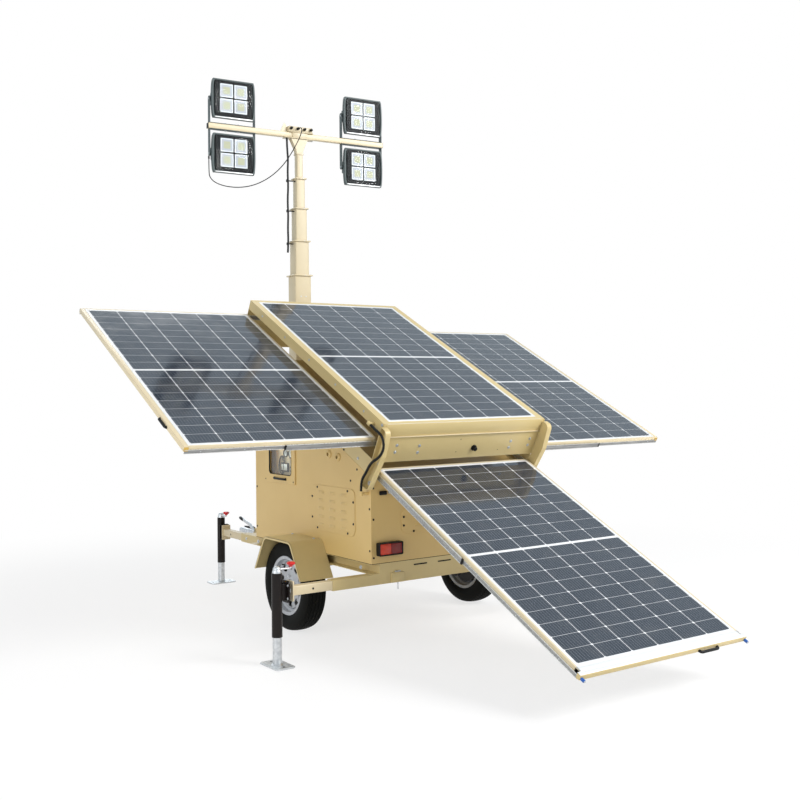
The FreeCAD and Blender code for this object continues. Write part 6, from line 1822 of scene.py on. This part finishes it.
@dataclass
class Jack:
    """One outrigger's end and its jack, worked out with x along the beam, and placed by a turn about Z."""

    name: str
    x: float
    y: float
    turn: float
    z: float = 0.395
    out: float = 0.089
    foot: float = 0.008
    mirror: int = 1

    def place(self, points: Array) -> Array:
        """x and y turn about the beam's end; y may be mirrored first so that pairs match."""
        a, b = points[..., 0], points[..., 1] * self.mirror
        c, s = math.cos(self.turn), math.sin(self.turn)
        return np.stack([self.x + a * c - b * s, self.y + a * s + b * c, self.z + points[..., 2]], -1)

    def build(self) -> None:
        """Beam end, tube with crank, and leg, each on its own body."""
        self.beam()
        self.tube()
        self.leg()

    def beam(self) -> None:
        """Square tube with black discs as painted shade for its pin hole, end plate and boss."""
        piece = Piece("outrigger_%s_beam" % self.name, self.place)
        h = 0.0257
        # the beam end in the lit copy of the sand paint: painted light
        piece.add(SAND_LIT, square_tube((-0.65, -h, -h), (0.0, h, h), 0.004, 0, 0.005))
        plate = softened([(-0.035, -0.055), (0.035, -0.055), (0.035, 0.055), (-0.035, 0.055)], 0.006, 4)
        piece.add(SAND_LIT, slab(plate, 0.0, 0.008, 0, 0.0012))
        piece.add(ZINC, peg((0.008, 0, 0), 0, 0.022, 0.02, 28))
        # black discs stand for the pin hole: painted shade
        for s in (-1, 1):
            piece.add(PLASTIC, peg((-0.125, s * (h - 0.001), 0), 1, s * 0.0012, 0.0065, 14, 0.0001))
        piece.build("outrigger_" + self.name, "sand_paint", ["outrigger_beam_" + self.name])

    def tube(self) -> None:
        """Swivel plate with its oval hole, bracket cheeks, black tube, gear head, crank and red grip."""
        piece = Piece("jack_%s_tube" % self.name, self.place)
        near, axis, crank = 0.0303, (self.out, 0, 0), 0.123
        face, far, end = near + 0.008, self.out - 0.0216, self.out - 0.089
        outer = oblong((-0.042, -0.06), (0.042, 0.06), 0.02, 8)
        oval = oblong((-0.013, -0.05), (0.013, -0.012), 0.012, 8)
        piece.add(BLACK, framed(outer, oval, near, 0.008, 0, 0.001))
        cheek = softened([(face, -0.045), (far, -0.045), (far, 0.045), (face, 0.045)], (0.0, 0.012, 0.012, 0.0),
                         5)
        body = ((-0.24, 0.0256), (-0.24, 0.0282), (-0.2388, 0.029), (0.1035, 0.029), (0.105, 0.028),
                (0.105, 0.022), (0.093, 0.0256))
        band = ((-0.2395, 0.028), (-0.2395, 0.0292), (-0.22, 0.0292), (-0.2185, 0.028))
        piece.add(BLACK, *(slab(cheek, y, 0.005, 1, 0.0008) for y in (-0.02, 0.015)), lathe(body, axis, 2, 40),
                  lathe(band, axis, 2, 40))
        head = ((0.1, 0.006), (0.1, 0.0245), (0.114, 0.025), (0.122, 0.021), (crank, 0.006))
        path = [(x, 0, crank + lift) for x, lift in ((self.out, 0), (self.out - 0.02, 0), (end + 0.01, 0),
                                                     (end + 0.002, 0.001), (end, 0.01), (end, 0.016))]
        piece.add(ZINC, lathe(head, axis, 2, 32), ball((self.out, 0, crank), 0.0215, (1, 1, 0.95), 24),
                  bent_bar(path, 0.0055, 12))
        grip = ((0.008, 0.002), (0.008, 0.009), (0.014, 0.0115), (0.018, 0.019), (0.023, 0.0235),
                (0.029, 0.0238), (0.033, 0.02), (0.034, 0.015), (0.034, 0.002))
        piece.add(RED, lathe(grip, (end, 0, crank), 2, 28))
        for z in (-0.035, 0.035):
            piece.add(ZINC, *bolt((face, 0.031, z), (1, 0, 0), 0.005, 0.004))
        hook = ((0.052, -0.04, 0.032), (0.052, -0.038, 0.044), (0.058, -0.035, 0.052), (0.068, -0.035, 0.05),
                (0.078, -0.036, 0.036), (0.088, -0.037, 0.02), (0.094, -0.037, 0.01))
        piece.add(BRIGHT, bent_bar(hook, 0.0038, 10))
        piece.build("jack_" + self.name, "black_paint", ["jack_tube_" + self.name])

    def leg(self) -> None:
        """Zinc leg with its weld and a foot plate whose corners are cut."""
        piece = Piece("jack_%s_leg" % self.name, self.place)
        foot = self.foot - self.z
        tube = ((foot, 0.02), (foot, 0.0254), (-0.056, 0.0254), (-0.055, 0.0245), (-0.055, 0.02))
        weld = ((foot, 0.024), (foot, 0.034), (foot + 0.002, 0.03), (foot + 0.005, 0.0265),
                (foot + 0.0058, 0.024))
        piece.add(ZINC, *(lathe(profile, (self.out, 0, 0), 2, 40) for profile in (tube, weld)))
        x0, x1 = self.out - 0.06, self.out + 0.06
        plate = softened([(x0, -0.088), (x0 + 0.014, -0.1), (x1 - 0.014, -0.1), (x1, -0.088), (x1, 0.088),
                          (x1 - 0.014, 0.1), (x0 + 0.014, 0.1), (x0, 0.088)], 0.003, 3)
        piece.add(ZINC, slab(plate, -self.z, self.foot, 2, 0.001))
        for y in (-0.07, 0.07):
            piece.add(PLASTIC, peg((self.out, y, foot - 0.0001), 2, 0.0005, 0.007, 14, 0.0002))
        piece.build("leg_" + self.name, "zinc", ["jack_leg_" + self.name])


def stand(thing: bpy.types.Object, right: Array, up: Array, look: Array, spot: Point) -> None:
    """Sets a camera or lamp on its spot and turns it: the matrix's columns are right, up, away and the spot."""
    matrix = np.eye(4)
    matrix[:3] = np.column_stack([right, up, -look, spot])
    thing.matrix_world = Matrix(matrix.tolist())
    bpy.context.scene.collection.objects.link(thing)


@dataclass
class Studio:
    """Pale floor and backdrop, soft lights and the photograph's camera."""

    spot: Point = (-3.9473, -5.4433, 1.515)
    yaw: float = 0.600415734
    pitch: float = 0.0189031055
    roll: float = -0.00974351375
    focal: float = 1030.1
    centre: tuple[float, float] = (369.13, 365.3)

    def build(self) -> None:
        """Camera, floor, world and lamps."""
        self.camera()
        self.floor()
        self.light()

    def camera(self) -> None:
        """Right and up are turned by the roll; the lens is focal pixels times 36 mm over 800 pixels."""
        look = np.array([math.sin(self.yaw) * math.cos(self.pitch), math.cos(self.yaw) * math.cos(self.pitch),
                         math.sin(self.pitch)])
        right = np.array([math.cos(self.yaw), -math.sin(self.yaw), 0.0])
        up = np.cross(right, look)
        r = right * math.cos(self.roll) + up * math.sin(self.roll)
        u = -right * math.sin(self.roll) + up * math.cos(self.roll)
        data = bpy.data.cameras.new("photo_camera")
        data.sensor_width = 36.0
        data.lens = self.focal * data.sensor_width / PIXELS
        data.shift_x = 0.5 - self.centre[0] / PIXELS
        data.shift_y = self.centre[1] / PIXELS - 0.5
        data.clip_end = 200.0
        thing = bpy.data.objects.new("photo_camera", data)
        stand(thing, r, u, look, self.spot)
        bpy.context.scene.camera = thing

    def floor(self) -> None:
        """A wide pale plane that shades only where the tower stands over it."""
        mesh = bpy.data.meshes.new("studio_floor")
        r = 40.0
        mesh.from_pydata([(-r, -r, -0.0005), (r, -r, -0.0005), (r, r, -0.0005), (-r, r, -0.0005)], [],
                         [(0, 1, 2, 3)])
        tree = Tree("studio_floor")
        shade = tree.node("ShaderNodeBsdfDiffuse", {}, {"Color": (0.93, 0.93, 0.93)})
        glow = tree.node("ShaderNodeEmission", {}, {"Color": (1.0, 1.0, 1.0), "Strength": 1.0})
        seen = tree.node("ShaderNodeLightPath", {}, {})
        x, y, _ = tree.axes()
        away = (x * x + y * y).between(4.0, 30.0, 0.72, 1.0)
        eye, shine = (Number(tree, seen.outputs[name]) for name in ("Is Camera Ray", "Is Glossy Ray"))
        share = eye.higher(shine) * away
        mesh.materials.append(tree.end(tree.share(share, shade, glow)))
        thing = bpy.data.objects.new("studio_floor", mesh)
        bpy.context.scene.collection.objects.link(thing)

    def light(self) -> None:
        """A white surround for eyes and gloss, a weaker one for light, a broad key and a fill."""
        tree = Tree("studio_world", world=True)
        bpy.context.scene.world = tree.material
        path = tree.node("ShaderNodeLightPath", {}, {}).outputs
        white, gloss, plain = (tree.node("ShaderNodeBackground", {}, {"Color": colour, "Strength": strength})
                               for colour, strength in (((1.0, 1.0, 1.0), 1.0), ((0.8, 0.92, 1.0), 0.9),
                                                        ((0.95, 0.97, 1.0), 0.42)))
        lit = tree.share(Number(tree, path["Is Glossy Ray"]), plain, gloss)
        seen = Number(tree, path["Is Camera Ray"]).higher(Number(tree, path["Is Transmission Ray"]))
        tree.end(tree.share(seen, lit, white))
        for name, spot, aim, size, power in (
                ("key", (4.5, -8.0, 7.0), (0.0, 0.2, 1.4), 5.0, 1080.0),
                ("fill", (-8.0, -2.0, 3.5), (0.0, 0.2, 1.2), 6.0, 260.0),
                ("back", (2.0, 8.0, 6.0), (0.0, 0.5, 1.4), 6.0, 220.0),
                ("cabinet_lamp", (-0.562, 0.49, 1.225), (-0.5, 0.49, 1.05), 0.03, 1.2)):
            data = bpy.data.lights.new(name, "AREA")
            data.shape = "DISK"
            data.size = size
            data.energy = power
            lamp = bpy.data.objects.new(name, data)
            look = np.subtract(aim, spot)
            look = look / np.linalg.norm(look)
            right = np.cross(look, (0, 0, 1.0))
            right = right / np.linalg.norm(right)
            stand(lamp, right, np.cross(right, look), look, spot)


@dataclass
class LightTower:
    """The whole tower, its sub-assemblies in building order."""

    parts: list[object] = field(default_factory=list)

    def __post_init__(self) -> None:
        """Fills the list of sub-assemblies."""
        lamps = [Floodlight("upper_left", -1, 1), Floodlight("upper_right", 1, 1),
                 Floodlight("lower_left", -1, -1), Floodlight("lower_right", 1, -1)]
        spots = {"top": (0.0, 0.0, 0.0), "left": (-SIDE_TRAVEL, 0.0, -LEVEL_STEP),
                 "right": (SIDE_TRAVEL, 0.0, -2 * LEVEL_STEP), "rear": (0.0, -REAR_TRAVEL, -3 * LEVEL_STEP)}
        self.parts = [Studio(), Cords(), Cabinet(), Chassis(), Wheel(Side.LEFT), Wheel(Side.RIGHT), TrayShell()]
        self.parts += [SolarModule(name, "trailer" if name == "top" else "drawer_" + name, *spot)
                       for name, spot in spots.items()]
        self.parts += [kind(name, "drawer_" + name, *spots[name], way) for kind, name, way in (
            (SideDrawer, "left", -1), (SideDrawer, "right", 1), (RearDrawer, "rear", 0))]
        self.parts += [Mast(), *lamps, Brackets(lamps)]
        self.parts += [Jack("rear_left", -1.115, -0.531, math.pi),
                       Jack("rear_right", 1.115, -0.531, 0.0, mirror=-1),
                       Jack("front_left", -0.385, 1.719, math.pi / 2),
                       Jack("front_right", 0.385, 1.719, math.pi / 2, mirror=-1)]

    def build(self) -> None:
        """Builds every sub-assembly."""
        for part in self.parts:
            part.build()
            log.info("%s done", type(part).__name__)


def main() -> None:
    """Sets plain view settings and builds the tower."""
    logging.basicConfig(level=logging.INFO, format="%(message)s")
    bpy.context.scene.view_settings.view_transform = "Standard"
    LightTower().build()


if __name__ == "__main__":
    main()
